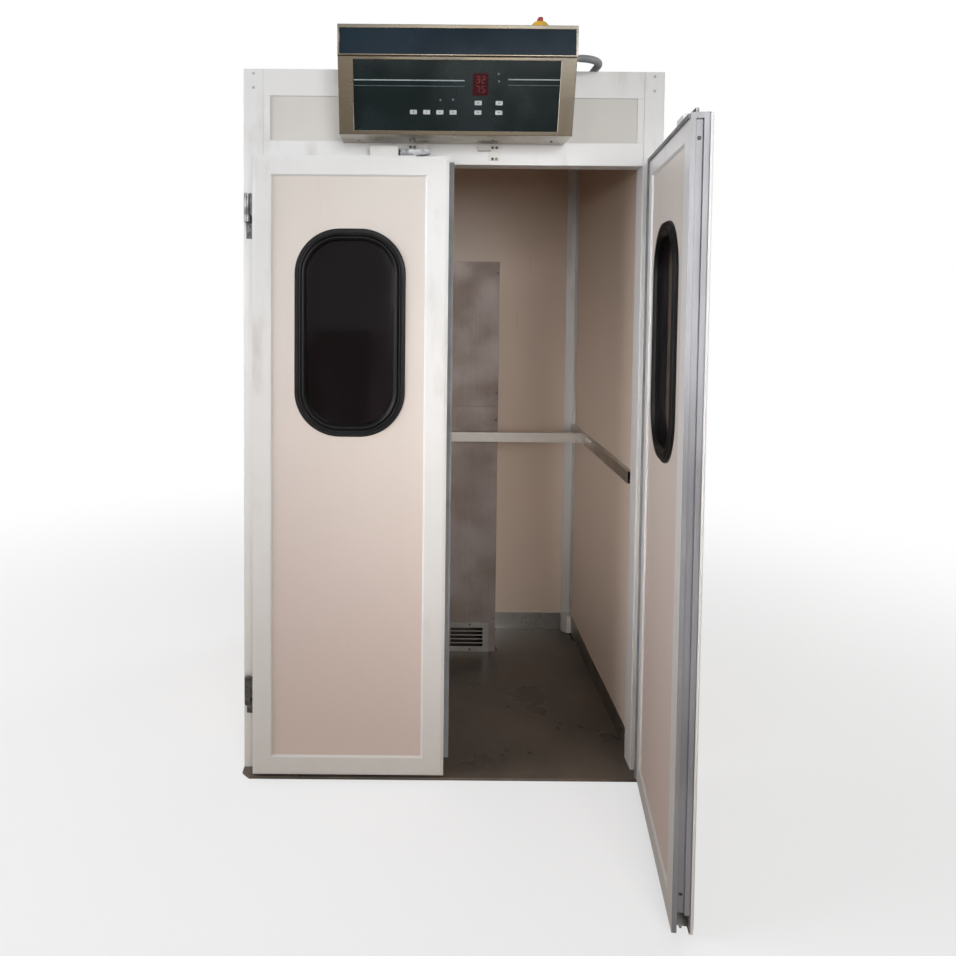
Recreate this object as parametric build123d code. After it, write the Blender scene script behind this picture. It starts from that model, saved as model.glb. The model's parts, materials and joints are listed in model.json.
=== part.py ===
from build123d import *

import math
import os

# Walk-in proofing chamber with two hinged doors, one node for each piece.
# Millimetres. X runs to the right, Y from the front posts to the back wall, Z up from the ground.
# The front faces of the posts lie at Y = 0, and X = 0 is the middle of the chamber.
# The left door stands closed and the right one open, as the chamber was photographed.

# Chamber
CHAMBER_WIDTH = 1290.0
CHAMBER_HEIGHT = 2200.0
CHAMBER_DEPTH = 1100.0
WALL = 50.0
SHEET = 2.0
SKIN = 0.8
FLOOR_THICKNESS = 8.0
FLOOR_APRON = 50.0
FLOOR_CORNER_CUT = 25.0
BASE_CHANNEL_HEIGHT = 75.0

# Clearances that several pieces share
LOOSE_GAP = 0.3
RUNNING_FIT = 0.05

# Front posts and header
POST_WIDTH = 62.0
POST_DEPTH = 70.0
POST_WALL = 3.0
PANEL_BITE = 15.0
HEADER_HEIGHT = 286.0
HEADER_TOP_RAIL = 81.0
HEADER_LOW_RAIL = 69.0
HEADER_STILE = 20.0
INFILL_RECESS = 4.0
INFILL_BITE = 10.0
TRIM_FLANGE = 30.0
CORNER_COVER = 42.0
CORNER_COVER_SHEET = 2.5
CORNER_FOOT = 42.0

# Bumper rails
RAIL_HEIGHT = 40.0
RAIL_TOP = 947.0
RAIL_STANDOFF = 17.0
BACK_RAIL_DEPTH = 20.0
RAIL_SHEET = 1.5
RAIL_FRONT_GAP = 20.0
RAIL_COLUMN_GAP = 11.0
BRACKET_LEG = 32.0
BRACKET_SHEET = 3.0

# Climate column on the back wall
COLUMN_WIDTH = 470.0
COLUMN_DEPTH = 229.0
COLUMN_HEIGHT = 1644.0
COLUMN_LOWER_PANEL = 1043.0
COLUMN_FLANGE = 20.0
FAN_OPENING_R = 100.0
GRILLE_WIDTH = 414.0
GRILLE_HEIGHT = 126.0
GRILLE_SHEET = 4.0
GRILLE_END_MARGIN = 25.0
GRILLE_SLOT_COUNT = 5
GRILLE_SLOT_HEIGHT = 13.0
GRILLE_SLOT_PITCH = 17.0
GRILLE_MULLION = 8.0

# Circulation fan, heater, humidifier and probe
FAN_BRACKET_BELOW_TOP = 152.0
FAN_BRACKET_SHEET = 3.0
FAN_BRACKET_WIDTH = 114.0
MOTOR_R = 42.0
MOTOR_HEIGHT = 78.0
MOTOR_ROUND = 7.0
SHAFT_R = 5.0
SHAFT_IN_MOTOR = 40.0
IMPELLER_TIP_GAP = 8.0
IMPELLER_HUB_R = 24.0
IMPELLER_HEIGHT = 28.0
IMPELLER_RISE = 12.0
BLADE_COUNT = 5
BLADE_SHEET = 2.5
BLADE_PITCH_DEG = 32.0
HEATER_ROD_R = 4.25
HEATER_LEG_SPREAD = 60.0
HEATER_END_GAP = 68.0
HEATER_COUNT = 3
HEATER_PITCH = 60.0
HEATER_BELOW_FAN = 290.0
HEATER_FLANGE = 3.0
HEATER_FLANGE_MARGIN = 30.0
TANK_WIDTH = 200.0
TANK_DEPTH = 160.0
TANK_HEIGHT = 260.0
TANK_MIDDLE_X = -50.0
TANK_SETBACK = 14.0
TANK_LID = 4.0
STEAM_PIPE_R = 11.0
STEAM_PIPE_BORE_R = 9.0
STEAM_PIPE_BELOW_HEATER = 90.0
PROBE_R = 7.0
PROBE_REACH = 60.0
PROBE_TAIL = 20.0
PROBE_NUT_R = 12.0
PROBE_NUT = 8.0
PROBE_ABOVE_JOINT = 299.0

# Doors, hung on pins in front of the posts
DOOR_THICKNESS = 52.0
DOOR_STANDOFF = 6.0
DOOR_TOP_LAP = 15.0
DOOR_BOTTOM = 20.0
LEFT_MEETING_X = 14.0
RIGHT_MEETING_X = 5.0
DOOR_RAIL = 61.0
DOOR_HINGE_STILE = 62.0
DOOR_MEETING_STILE = 71.0
DOOR_EDGE_STEP = 8.0
DOOR_EDGE_STEP_DEPTH = 3.0
DOOR_BEAD = 5.0
DOOR_PANEL_RECESS = 6.0
BAR_WALL = 2.5
EDGE_CHANNEL_WIDTH = 17.0
EDGE_CHANNEL_DEPTH = 8.0
EDGE_CHANNEL_SETBACK = 23.0
EDGE_CHANNEL_CAP = 14.0
EDGE_POCKET_HEIGHT = 45.0
EDGE_POCKET_SETBACK = 12.0
EDGE_POCKET_DEPTH = 24.0
EDGE_GROOVE_WIDTH = 2.5
EDGE_LIP = 9.0
EDGE_GROOVE_DEPTH = 3.0
MEETING_STRIP_REACH = 16.0
OPEN_ANGLE_DEG = 82.0

# Door window
WINDOW_WIDTH = 336.0
WINDOW_HEIGHT = 632.0
WINDOW_CORNER_R = 138.0
WINDOW_BELOW_TOP = 533.5
GASKET_BAND = 36.0
GASKET_LAP = 20.0
GASKET_STAND = 8.0
GASKET_LIP = 14.0
GASKET_LIP_STAND = 3.0
GASKET_ROUND = 3.0
PANE = 4.0
PANE_BITE = 8.0
PANE_GAP = 12.0

# Door gaskets
SEAL_WIDTH = 10.0
SEAL_INSET = 3.0
SEAL_CLEARANCE = 0.5
LIP_HEIGHT = 8.0
LIP_THICKNESS = 6.0

# Hinges
HINGE_PIN_INSET = 21.0
HINGE_PIN_SETBACK = 16.0
HINGE_PIN_TO_DOOR = 17.0
HINGE_LOW_JOINT = 237.0
HINGE_HIGH_JOINT = 177.0
HINGE_KNUCKLE_R = 10.0
HINGE_PIN_R = 4.0
HINGE_UPPER = 64.0
HINGE_LOWER = 70.0
HINGE_LOWER_KNUCKLE = 22.0
HINGE_PLATE = 6.0
HINGE_PLATE_WIDTH = 22.0
HINGE_LEAF = 4.0
HINGE_LEAF_WIDTH = 34.0
HINGE_GAP = 0.5
HINGE_SCREW_DROPS = (33.0, 54.0)

# Door latches and their strikers
LATCH_INNER_X = 114.0
LATCH_OUTER_X = 253.0
LATCH_HOUSING_X = 169.0
LATCH_SETBACK = 12.0
LATCH_DEPTH = 26.0
LATCH_PLATE = 4.0
LATCH_HEIGHT = 33.0
LATCH_ROUND = 2.0
LATCH_PIVOT_X = 160.0
LATCH_PIVOT_R = 3.0
LATCH_EYE_R = 7.0
LATCH_ARM_THICKNESS = 12.0
LATCH_NOSE_TIP_X = 71.0
LATCH_NOSE_TIP_THICKNESS = 8.0
LATCH_NOSE_HEIGHT = 20.0
LATCH_NOSE_TIP_HEIGHT = 13.0
LATCH_CLEARANCE = 0.4
STRIKER_PLATE = 3.0
STRIKER_WIDTH = 36.0
STRIKER_HEIGHT = 44.0
STRIKER_INNER_X = 108.0
STRIKER_SEAL_GAP = 1.0
TONGUE_REACH = 34.0
TONGUE_LAP = 6.0
TONGUE_HEIGHT = 16.0
TONGUE_GAP = 0.8
TONGUE_TIP = 8.0
STRIKER_SCREW_SPREAD_X = 12.0
STRIKER_SCREW_SPREAD_Z = 34.0

# Control box on the header
BOX_WIDTH = 676.0
BOX_HEIGHT = 293.0
BOX_ABOVE_ROOF = 70.0
BOX_BAND = 86.0
BOX_BAND_STEP = 10.0
BOX_DEPTH = 200.0
BOX_LOW_DEPTH = 132.0
BAND_WINDOW_MARGIN = 6.0
BAND_WINDOW_TOP_RIM = 11.0
BAND_WINDOW_LOW_RIM = 4.0
BAND_PANEL_LAP = 4.0
BAND_PANEL_LOW_LAP = 2.0
BOX_PANEL = 3.0
BOX_PANEL_LAP = 5.0
KEY_WINDOW_SIDE_MARGIN = 44.0
KEY_WINDOW_TOP_MARGIN = 9.0
KEY_WINDOW_LOW_MARGIN = 12.0
KEY_ROW_X = (-123.0, -85.0, -47.0, -9.0)
KEY_ROW_DROP = 42.0
KEY_GRID_X = (62.5, 122.5)
KEY_GRID_DROPS = (16.5, 42.0)
KEY_WIDTH = 20.0
KEY_HEIGHT = 12.0
KEY_CORNER_R = 2.0
KEY_STAND = 1.2
KEY_CLEARANCE = 0.4
KEY_FLANGE_LAP = 2.0
KEY_FLANGE = 1.5
KEY_STEM = 5.0
KEY_STEM_LENGTH = 3.0
KEY_TRAVEL = 1.0
DISPLAY_X = 67.5
DISPLAY_RISE = 32.0
DISPLAY_WIDTH = 45.0
DISPLAY_HEIGHT = 62.0
DISPLAY_CORNER_R = 4.0
BOARD_WIDTH = 330.0
BOARD_HEIGHT = 140.0
BOARD_SHEET = 2.0
BOARD_RISE = 5.0
BOARD_POST_R = 3.0
BOARD_POST_INSET = 8.0
SWITCH_SIDE = 6.0
SWITCH_HEIGHT = 3.7
DISPLAY_MODULE_MARGIN = 3.0
DISPLAY_MODULE_GAP = 1.0

# Rotary main switch on the box
MAIN_SWITCH_FROM_END = 104.0
MAIN_SWITCH_FROM_FRONT = 35.0
BEZEL_R = 29.0
BEZEL_TOP_R = 18.0
BEZEL_RIM = 5.0
BEZEL_HEIGHT = 18.0
KNOB_WIDTH = 14.0
KNOB_LENGTH = 34.0
KNOB_HEIGHT = 11.0
KNOB_END_R = 4.5
KNOB_ROUND = 2.0
KNOB_GAP = 0.4
KNOB_SHAFT_R = 4.0
KNOB_SHAFT_LENGTH = 45.0
KNOB_HOLE_R = 8.0
ISOLATOR_SIDE = 46.0
ISOLATOR_HEIGHT = 40.0

# Power unit inside the box
DIN_RAIL_WIDTH = 420.0
DIN_RAIL_HEIGHT = 35.0
DIN_RAIL_DEPTH = 8.0
DIN_RAIL_BELOW_TOP = 145.0
CONTACTOR_COUNT = 3
CONTACTOR_WIDTH = 45.0
CONTACTOR_HEIGHT = 75.0
CONTACTOR_DEPTH = 70.0
CONTACTOR_PITCH = 55.0
CONTACTOR_FIRST_X = -60.0
TRANSFORMER_WIDTH = 90.0
TRANSFORMER_X = -150.0

# Ribbed conduit from the box to the roof
CONDUIT_R = 11.0
CONDUIT_VALLEY_R = 9.6
CONDUIT_BORE_R = 8.0
CONDUIT_BEND_R = 72.0
CONDUIT_PLAIN = 11.0
CONDUIT_ABOVE_ROOF = 1.0
CONDUIT_Y = -90.0
CONDUIT_RIB_PITCH = 4.0
CONDUIT_RIB_START = 0.25
CONDUIT_RIB_END = 0.6
CONDUIT_VALLEY_START = 0.85
GLAND_LENGTH = 14.0
GLAND_NUT_R = 16.0
GLAND_NUT = 9.0
GLAND_NUT_SIDES = 6
COLLAR_R = 11.5
COLLAR_LENGTH = 16.0
JUNCTION_SIDE = 80.0
JUNCTION_HEIGHT = 50.0
JUNCTION_FRONT_Y = 300.0
JUNCTION_CORNER_R = 5.0

# Screws
SCREW_R = 2.0
SCREW_LENGTH = 8.0
SCREW_HEAD_R = 4.5
SCREW_HEAD = 2.0
SCREW_HEAD_EDGE = 0.7
POST_SCREW_DROPS = (14.0, 57.0)
COLUMN_SCREW_INSET = 8.0
COLUMN_SCREW_FROM_FLOOR = 142.0
COLUMN_SCREW_BELOW_JOINT = 56.0
COLUMN_SCREW_ABOVE_JOINT = 57.0
COLUMN_SCREW_BELOW_TOP = 47.0
GRILLE_SCREW_X = 127.0
GRILLE_SCREW_INSET = 9.0
BOX_SCREWS_FROM_LEFT = ((51.0, 40.0), (215.0, 82.0), (630.0, 47.0))

# Places worked out from the sizes above
HALF_WIDTH = CHAMBER_WIDTH / 2
PANEL = WALL - 2 * SHEET
PANEL_OUTER = HALF_WIDTH - SHEET
PANEL_INNER = PANEL_OUTER - PANEL
JAMB_X = HALF_WIDTH - POST_WIDTH
POST_SCREW_X = HALF_WIDTH - POST_WIDTH / 2
CORNER_X = HALF_WIDTH - WALL
CORNER_Y = CHAMBER_DEPTH - WALL
BACK_INNER_Y = CORNER_Y + SHEET
PANEL_BOTTOM = FLOOR_THICKNESS + SHEET
CHANNEL_TOP = FLOOR_THICKNESS + BASE_CHANNEL_HEIGHT
ROOF_TOP = CHAMBER_HEIGHT - SHEET
ROOF_BOTTOM = ROOF_TOP - PANEL
LINTEL_HEIGHT = CHAMBER_HEIGHT - HEADER_HEIGHT
HEADER_TOP_RAIL_BOTTOM = CHAMBER_HEIGHT - HEADER_TOP_RAIL
HEADER_LOW_RAIL_TOP = LINTEL_HEIGHT + HEADER_LOW_RAIL
COLUMN_BACK_Y = CORNER_Y
COLUMN_FRONT_Y = COLUMN_BACK_Y - COLUMN_DEPTH
COLUMN_TOP = FLOOR_THICKNESS + COLUMN_HEIGHT
COLUMN_JOINT = FLOOR_THICKNESS + COLUMN_LOWER_PANEL
COLUMN_HALF = COLUMN_WIDTH / 2
COLUMN_MIDDLE_Y = (COLUMN_FRONT_Y + COLUMN_BACK_Y) / 2
GRILLE_SLOT_REACH = GRILLE_WIDTH / 2 - GRILLE_END_MARGIN
GRILLE_TOP = FLOOR_THICKNESS + GRILLE_HEIGHT
GRILLE_SLOTS_HEIGHT = GRILLE_SLOT_PITCH * (GRILLE_SLOT_COUNT - 1) + GRILLE_SLOT_HEIGHT
GRILLE_SLOTS_BOTTOM = FLOOR_THICKNESS + (GRILLE_HEIGHT - GRILLE_SLOTS_HEIGHT) / 2
GRILLE_SLOTS_TOP = GRILLE_SLOTS_BOTTOM + GRILLE_SLOTS_HEIGHT
FAN_BRACKET_Z = COLUMN_TOP - FAN_BRACKET_BELOW_TOP
IMPELLER_R = FAN_OPENING_R - IMPELLER_TIP_GAP
HEATER_LOWEST = FAN_BRACKET_Z - HEATER_BELOW_FAN
STEAM_PIPE_TOP = HEATER_LOWEST - STEAM_PIPE_BELOW_HEATER
TANK_MIDDLE_Y = COLUMN_MIDDLE_Y + TANK_SETBACK
PROBE_Z = COLUMN_JOINT + PROBE_ABOVE_JOINT
RAIL_INNER_X = PANEL_INNER - RAIL_STANDOFF
RAIL_BOTTOM = RAIL_TOP - RAIL_HEIGHT
BACK_RAIL_BACK_Y = COLUMN_FRONT_Y - RAIL_COLUMN_GAP
BACK_RAIL_FRONT_Y = BACK_RAIL_BACK_Y - BACK_RAIL_DEPTH
DOOR_BACK_Y = -DOOR_STANDOFF
DOOR_FRONT_Y = DOOR_BACK_Y - DOOR_THICKNESS
DOOR_TOP = LINTEL_HEIGHT + DOOR_TOP_LAP
WINDOW_Z = DOOR_TOP - WINDOW_BELOW_TOP
HINGE_PIN_X = HALF_WIDTH - HINGE_PIN_INSET
HINGE_PIN_Y = DOOR_FRONT_Y + HINGE_PIN_SETBACK
DOOR_OUTER_X = HINGE_PIN_X - HINGE_PIN_TO_DOOR
HINGE_JOINT_HEIGHTS = (DOOR_BOTTOM + HINGE_LOW_JOINT, DOOR_TOP - HINGE_HIGH_JOINT)
LATCH_FRONT_Y = DOOR_FRONT_Y + LATCH_SETBACK
LATCH_BACK_Y = LATCH_FRONT_Y + LATCH_DEPTH
LATCH_PIVOT_Y = (LATCH_FRONT_Y + LATCH_BACK_Y) / 2
STRIKER_BOTTOM = DOOR_TOP - SEAL_INSET + STRIKER_SEAL_GAP
BOX_TOP = CHAMBER_HEIGHT + BOX_ABOVE_ROOF
BOX_BOTTOM = BOX_TOP - BOX_HEIGHT
BOX_SLOPE_TOP = BOX_TOP - BOX_BAND
BOX_SLOPE_TOP_DEPTH = BOX_DEPTH - BOX_BAND_STEP
BAND_WINDOW_WIDTH = BOX_WIDTH - 2 * BAND_WINDOW_MARGIN
BAND_WINDOW_BOTTOM = BOX_SLOPE_TOP + BAND_WINDOW_LOW_RIM
BAND_WINDOW_TOP = BOX_TOP - BAND_WINDOW_TOP_RIM
SLOPE = math.atan2(BOX_SLOPE_TOP_DEPTH - BOX_LOW_DEPTH, BOX_SLOPE_TOP - BOX_BOTTOM)
SLOPE_LENGTH = math.hypot(BOX_SLOPE_TOP_DEPTH - BOX_LOW_DEPTH, BOX_SLOPE_TOP - BOX_BOTTOM)
SLOPE_MIDDLE_Z = (BOX_BOTTOM + BOX_SLOPE_TOP) / 2
SLOPE_PLANE = Plane(
    origin=(0, -(BOX_LOW_DEPTH + BOX_SLOPE_TOP_DEPTH) / 2, SLOPE_MIDDLE_Z),
    x_dir=(1, 0, 0),
    z_dir=(0, -math.cos(SLOPE), -math.sin(SLOPE)),
)
KEY_WINDOW_WIDTH = BOX_WIDTH - 2 * KEY_WINDOW_SIDE_MARGIN
KEY_WINDOW_HEIGHT = SLOPE_LENGTH - KEY_WINDOW_TOP_MARGIN - KEY_WINDOW_LOW_MARGIN
KEY_WINDOW_RISE = (KEY_WINDOW_LOW_MARGIN - KEY_WINDOW_TOP_MARGIN) / 2
KEY_PANEL_BACK = SHEET + BOX_PANEL
KEY_STEM_END = KEY_PANEL_BACK + LOOSE_GAP + KEY_FLANGE + KEY_STEM_LENGTH
BOARD_FACE = KEY_STEM_END + KEY_TRAVEL + LOOSE_GAP + SWITCH_HEIGHT
MAIN_SWITCH_X = BOX_WIDTH / 2 - MAIN_SWITCH_FROM_END
MAIN_SWITCH_Y = MAIN_SWITCH_FROM_FRONT - BOX_DEPTH
DIN_RAIL_Z = BOX_TOP - DIN_RAIL_BELOW_TOP
CONDUIT_Z = CHAMBER_HEIGHT + CONDUIT_R + CONDUIT_ABOVE_ROOF
CONDUIT_X = BOX_WIDTH / 2 + GLAND_LENGTH + CONDUIT_PLAIN + CONDUIT_BEND_R


def span(x, y, z):
    """A box between two coordinates on each axis."""
    size = [abs(pair[1] - pair[0]) for pair in (x, y, z)]
    middle = [(pair[0] + pair[1]) / 2 for pair in (x, y, z)]
    return Pos(*middle) * Box(*size)


def facing_front(shape, y_front, y_back):
    """A flat outline drawn in X and Z, as a slab between two depths."""
    place = Plane(origin=(0, y_back, 0), x_dir=(1, 0, 0), z_dir=(0, -1, 0))
    return extrude(place * shape, y_back - y_front)


def upright(shape, z_low, z_high):
    """A flat outline drawn in X and Y, as a prism between two heights."""
    return extrude(Pos(0, 0, z_low) * shape, z_high - z_low)


def side_profile(points, x_low, x_high):
    """A closed outline of (y, z) points, as a prism between two X coordinates."""
    outline = Plane.YZ * make_face(Polyline(*points, close=True))
    return extrude(Pos(x_low, 0, 0) * outline, x_high - x_low)


def cylinder(radius, start, end):
    """A round bar between two points."""
    start, end = Vector(*start), Vector(*end)
    axis = end - start
    return extrude(Plane(origin=start, z_dir=axis) * Circle(radius), axis.length)


def mirrored(shape):
    """The same piece on the other side of the chamber."""
    return mirror(shape, about=Plane.YZ)


def both_sides(shape):
    """A pair of solids, left and right."""
    return [mirrored(shape), shape]


def save(name, pieces):
    """Write one node, from a solid or a list of solids."""
    pieces = pieces if isinstance(pieces, list) else [pieces]
    solids = [solid for piece in pieces for solid in piece.solids()]
    shape = solids[0] if len(solids) == 1 else Compound(children=solids)
    shape.label = name
    export_step(shape, f"parts/{name}.step")


def swung_open(shape):
    """Turn a piece of the right door about its hinge pins."""
    return shape.rotate(Axis((HINGE_PIN_X, HINGE_PIN_Y, 0), (0, 0, 1)), OPEN_ANGLE_DEG)


def screw(point, direction):
    """A pan head screw whose head rests at the point and looks along the direction."""
    seat, out = Vector(*point), Vector(*direction)
    head = cylinder(SCREW_HEAD_R, seat, seat + out * SCREW_HEAD)
    head = chamfer(head.edges().group_by(SortBy.LENGTH)[-1], SCREW_HEAD_EDGE)
    return head + cylinder(SCREW_R, seat - out * SCREW_LENGTH, seat)


def screw_holes(shape, places, direction):
    """Cut the holes that a set of screws passes through."""
    out = Vector(*direction)
    for point in places:
        seat = Vector(*point)
        shape = shape - cylinder(SCREW_R, seat - out * SCREW_LENGTH, seat)
    return shape


# Where the screws sit
def post_screw_places():
    heights = [CHAMBER_HEIGHT - drop for drop in POST_SCREW_DROPS]
    return [(side * POST_SCREW_X, 0, z) for side in (-1, 1) for z in heights]


def hinge_screw_places():
    heights = [joint - drop for joint in HINGE_JOINT_HEIGHTS for drop in HINGE_SCREW_DROPS]
    return [(side * HINGE_PIN_X, -HINGE_PLATE, z) for side in (-1, 1) for z in heights]


def striker_screw_places():
    middle_x = STRIKER_INNER_X + STRIKER_WIDTH / 2
    middle_z = STRIKER_BOTTOM + STRIKER_HEIGHT / 2
    return [
        (side * (middle_x + dx * STRIKER_SCREW_SPREAD_X / 2), -STRIKER_PLATE,
         middle_z + dz * STRIKER_SCREW_SPREAD_Z / 2)
        for side in (-1, 1) for dx in (-1, 1) for dz in (-1, 1)
    ]


def column_screw_places():
    x = COLUMN_HALF - COLUMN_SCREW_INSET
    heights = (
        FLOOR_THICKNESS + COLUMN_SCREW_FROM_FLOOR, COLUMN_JOINT - COLUMN_SCREW_BELOW_JOINT,
        COLUMN_JOINT + COLUMN_SCREW_ABOVE_JOINT, COLUMN_TOP - COLUMN_SCREW_BELOW_TOP,
    )
    return [(side * x, COLUMN_FRONT_Y, z) for side in (-1, 1) for z in heights]


def grille_screw_places():
    low = FLOOR_THICKNESS + GRILLE_SCREW_INSET
    high = GRILLE_TOP - GRILLE_SCREW_INSET
    y = COLUMN_FRONT_Y - GRILLE_SHEET
    return [(side * GRILLE_SCREW_X, y, z) for side in (-1, 1) for z in (low, high)]


def box_screw_places():
    return [(x - BOX_WIDTH / 2, -depth, BOX_BOTTOM) for x, depth in BOX_SCREWS_FROM_LEFT]


def cabinet_screws():
    front, down = (0, -1, 0), (0, 0, -1)
    places = post_screw_places() + hinge_screw_places() + striker_screw_places()
    places += column_screw_places() + grille_screw_places()
    return [screw(p, front) for p in places] + [screw(p, down) for p in box_screw_places()]


# Chamber
def floor_plate():
    """Thin slab under the whole chamber, with its front corners cut off."""
    plate = span((-HALF_WIDTH, HALF_WIDTH), (-FLOOR_APRON, CHAMBER_DEPTH), (0, FLOOR_THICKNESS))
    front_corners = plate.edges().filter_by(Axis.Z).group_by(Axis.Y)[0]
    return chamfer(front_corners, FLOOR_CORNER_CUT)


def base_channels():
    """Channels on the floor that the wall panels stand in."""
    side = span((CORNER_X, HALF_WIDTH), (POST_DEPTH, CORNER_Y), (FLOOR_THICKNESS, CHANNEL_TOP))
    side -= span((PANEL_INNER, PANEL_OUTER), (POST_DEPTH, CORNER_Y), (PANEL_BOTTOM, CHANNEL_TOP))
    back = span((-CORNER_X, CORNER_X), (CORNER_Y, CHAMBER_DEPTH), (FLOOR_THICKNESS, CHANNEL_TOP))
    back -= span(
        (-CORNER_X, CORNER_X), (BACK_INNER_Y, CHAMBER_DEPTH - SHEET), (PANEL_BOTTOM, CHANNEL_TOP)
    )
    return both_sides(side) + [back]


def wall_skins():
    """The two painted sheets of each wall panel."""
    side_run, rise = (POST_DEPTH - PANEL_BITE, CORNER_Y), (PANEL_BOTTOM, ROOF_BOTTOM)
    inner = span((PANEL_INNER, PANEL_INNER + SKIN), side_run, rise)
    outer = span((PANEL_OUTER - SKIN, PANEL_OUTER), side_run, rise)
    back_run, back_outer = (-CORNER_X, CORNER_X), CHAMBER_DEPTH - SHEET
    back_in = span(back_run, (BACK_INNER_Y, BACK_INNER_Y + SKIN), rise)
    back_out = span(back_run, (back_outer - SKIN, back_outer), rise)
    return both_sides(inner) + both_sides(outer) + [back_in, back_out]


def roof_skins():
    """The two painted sheets of the roof panel."""
    across, along = (-PANEL_OUTER, PANEL_OUTER), (POST_DEPTH, CHAMBER_DEPTH - SHEET)
    low = span(across, along, (ROOF_BOTTOM, ROOF_BOTTOM + SKIN))
    return [low, span(across, along, (ROOF_TOP - SKIN, ROOF_TOP))]


def insulation_cores():
    """Foam between the sheets of the walls and the roof."""
    rise = (PANEL_BOTTOM, ROOF_BOTTOM)
    side = span(
        (PANEL_INNER + SKIN, PANEL_OUTER - SKIN), (POST_DEPTH - PANEL_BITE, CORNER_Y), rise
    )
    back = span(
        (-CORNER_X, CORNER_X), (BACK_INNER_Y + SKIN, CHAMBER_DEPTH - SHEET - SKIN), rise
    )
    roof = span(
        (-PANEL_OUTER, PANEL_OUTER), (POST_DEPTH, CHAMBER_DEPTH - SHEET),
        (ROOF_BOTTOM + SKIN, ROOF_TOP - SKIN),
    )
    return both_sides(side) + [back, roof]


def front_posts():
    """Hollow profiles beside the doorway, with a groove behind for the wall panel."""
    rise = (FLOOR_THICKNESS, CHAMBER_HEIGHT)
    post = span((JAMB_X, HALF_WIDTH), (0, POST_DEPTH), rise)
    post = chamfer(post.edges().filter_by(Axis.Z).group_by(Axis.Y)[0], POST_WALL / 2)
    groove_y = POST_DEPTH - PANEL_BITE
    hollow = (FLOOR_THICKNESS, CHAMBER_HEIGHT - POST_WALL)
    post -= span(
        (JAMB_X + POST_WALL, HALF_WIDTH - POST_WALL), (POST_WALL, groove_y - POST_WALL), hollow
    )
    post -= span((PANEL_INNER, PANEL_OUTER), (groove_y, POST_DEPTH), (PANEL_BOTTOM, ROOF_BOTTOM))
    screws = post_screw_places() + [(x, 0, z) for x, _, z in hinge_screw_places()]
    return [screw_holes(piece, screws, (0, -1, 0)) for piece in both_sides(post)]


def header_infill_outline(bite):
    """The infill panel's outline in X and Z, grown by the depth that it sits in its frame."""
    half = JAMB_X - HEADER_STILE + bite
    low, high = HEADER_LOW_RAIL_TOP - bite, HEADER_TOP_RAIL_BOTTOM + bite
    return Pos(0, (low + high) / 2) * Rectangle(2 * half, high - low)


def header_frame():
    """Top rail, lower rail and short end stiles between the posts."""
    full = (-JAMB_X, JAMB_X)
    depth, hollow = (0, POST_DEPTH), (POST_WALL, POST_DEPTH - POST_WALL)
    top = span(full, depth, (HEADER_TOP_RAIL_BOTTOM, CHAMBER_HEIGHT))
    top -= span(
        full, hollow, (HEADER_TOP_RAIL_BOTTOM + INFILL_BITE + POST_WALL, CHAMBER_HEIGHT - POST_WALL)
    )
    low = span(full, depth, (LINTEL_HEIGHT, HEADER_LOW_RAIL_TOP))
    low -= span(
        full, hollow, (LINTEL_HEIGHT + POST_WALL, HEADER_LOW_RAIL_TOP - INFILL_BITE - POST_WALL)
    )
    stile = span(
        (JAMB_X - HEADER_STILE, JAMB_X), depth, (HEADER_LOW_RAIL_TOP, HEADER_TOP_RAIL_BOTTOM)
    )
    groove = facing_front(
        header_infill_outline(INFILL_BITE), INFILL_RECESS, INFILL_RECESS + PANEL
    )
    pieces = [piece - groove for piece in [top, low] + both_sides(stile)]
    pieces[1] = screw_holes(pieces[1], [(x, 0, z) for x, _, z in striker_screw_places()], (0, -1, 0))
    return pieces


def header_infill():
    """Cream panel held in the header's grooves."""
    return facing_front(header_infill_outline(INFILL_BITE), INFILL_RECESS, INFILL_RECESS + PANEL)


def rear_corner_posts():
    """Corner profiles with a cover strip inside the chamber, and the strip's foot."""
    rise = (FLOOR_THICKNESS, ROOF_BOTTOM)
    post = span((CORNER_X, HALF_WIDTH), (CORNER_Y, CHAMBER_DEPTH), rise)
    post -= span(
        (CORNER_X + POST_WALL, HALF_WIDTH - POST_WALL),
        (CORNER_Y + POST_WALL, CHAMBER_DEPTH - POST_WALL), rise,
    )
    cover_rise = (CHANNEL_TOP, ROOF_BOTTOM)
    side_leg = span(
        (PANEL_INNER - CORNER_COVER_SHEET, PANEL_INNER),
        (BACK_INNER_Y - CORNER_COVER, BACK_INNER_Y), cover_rise,
    )
    back_leg = span(
        (PANEL_INNER - CORNER_COVER, PANEL_INNER),
        (BACK_INNER_Y - CORNER_COVER_SHEET, BACK_INNER_Y), cover_rise,
    )
    foot = span(
        (CORNER_X - CORNER_FOOT, CORNER_X), (CORNER_Y - CORNER_FOOT, CORNER_Y),
        (FLOOR_THICKNESS, CHANNEL_TOP),
    )
    inner_edge = foot.edges().filter_by(Axis.Z).sort_by(Axis.X)[:2].sort_by(Axis.Y)[0]
    foot = chamfer(inner_edge, CORNER_FOOT / 2)
    return both_sides(post) + both_sides(side_leg + back_leg) + both_sides(foot)


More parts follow.
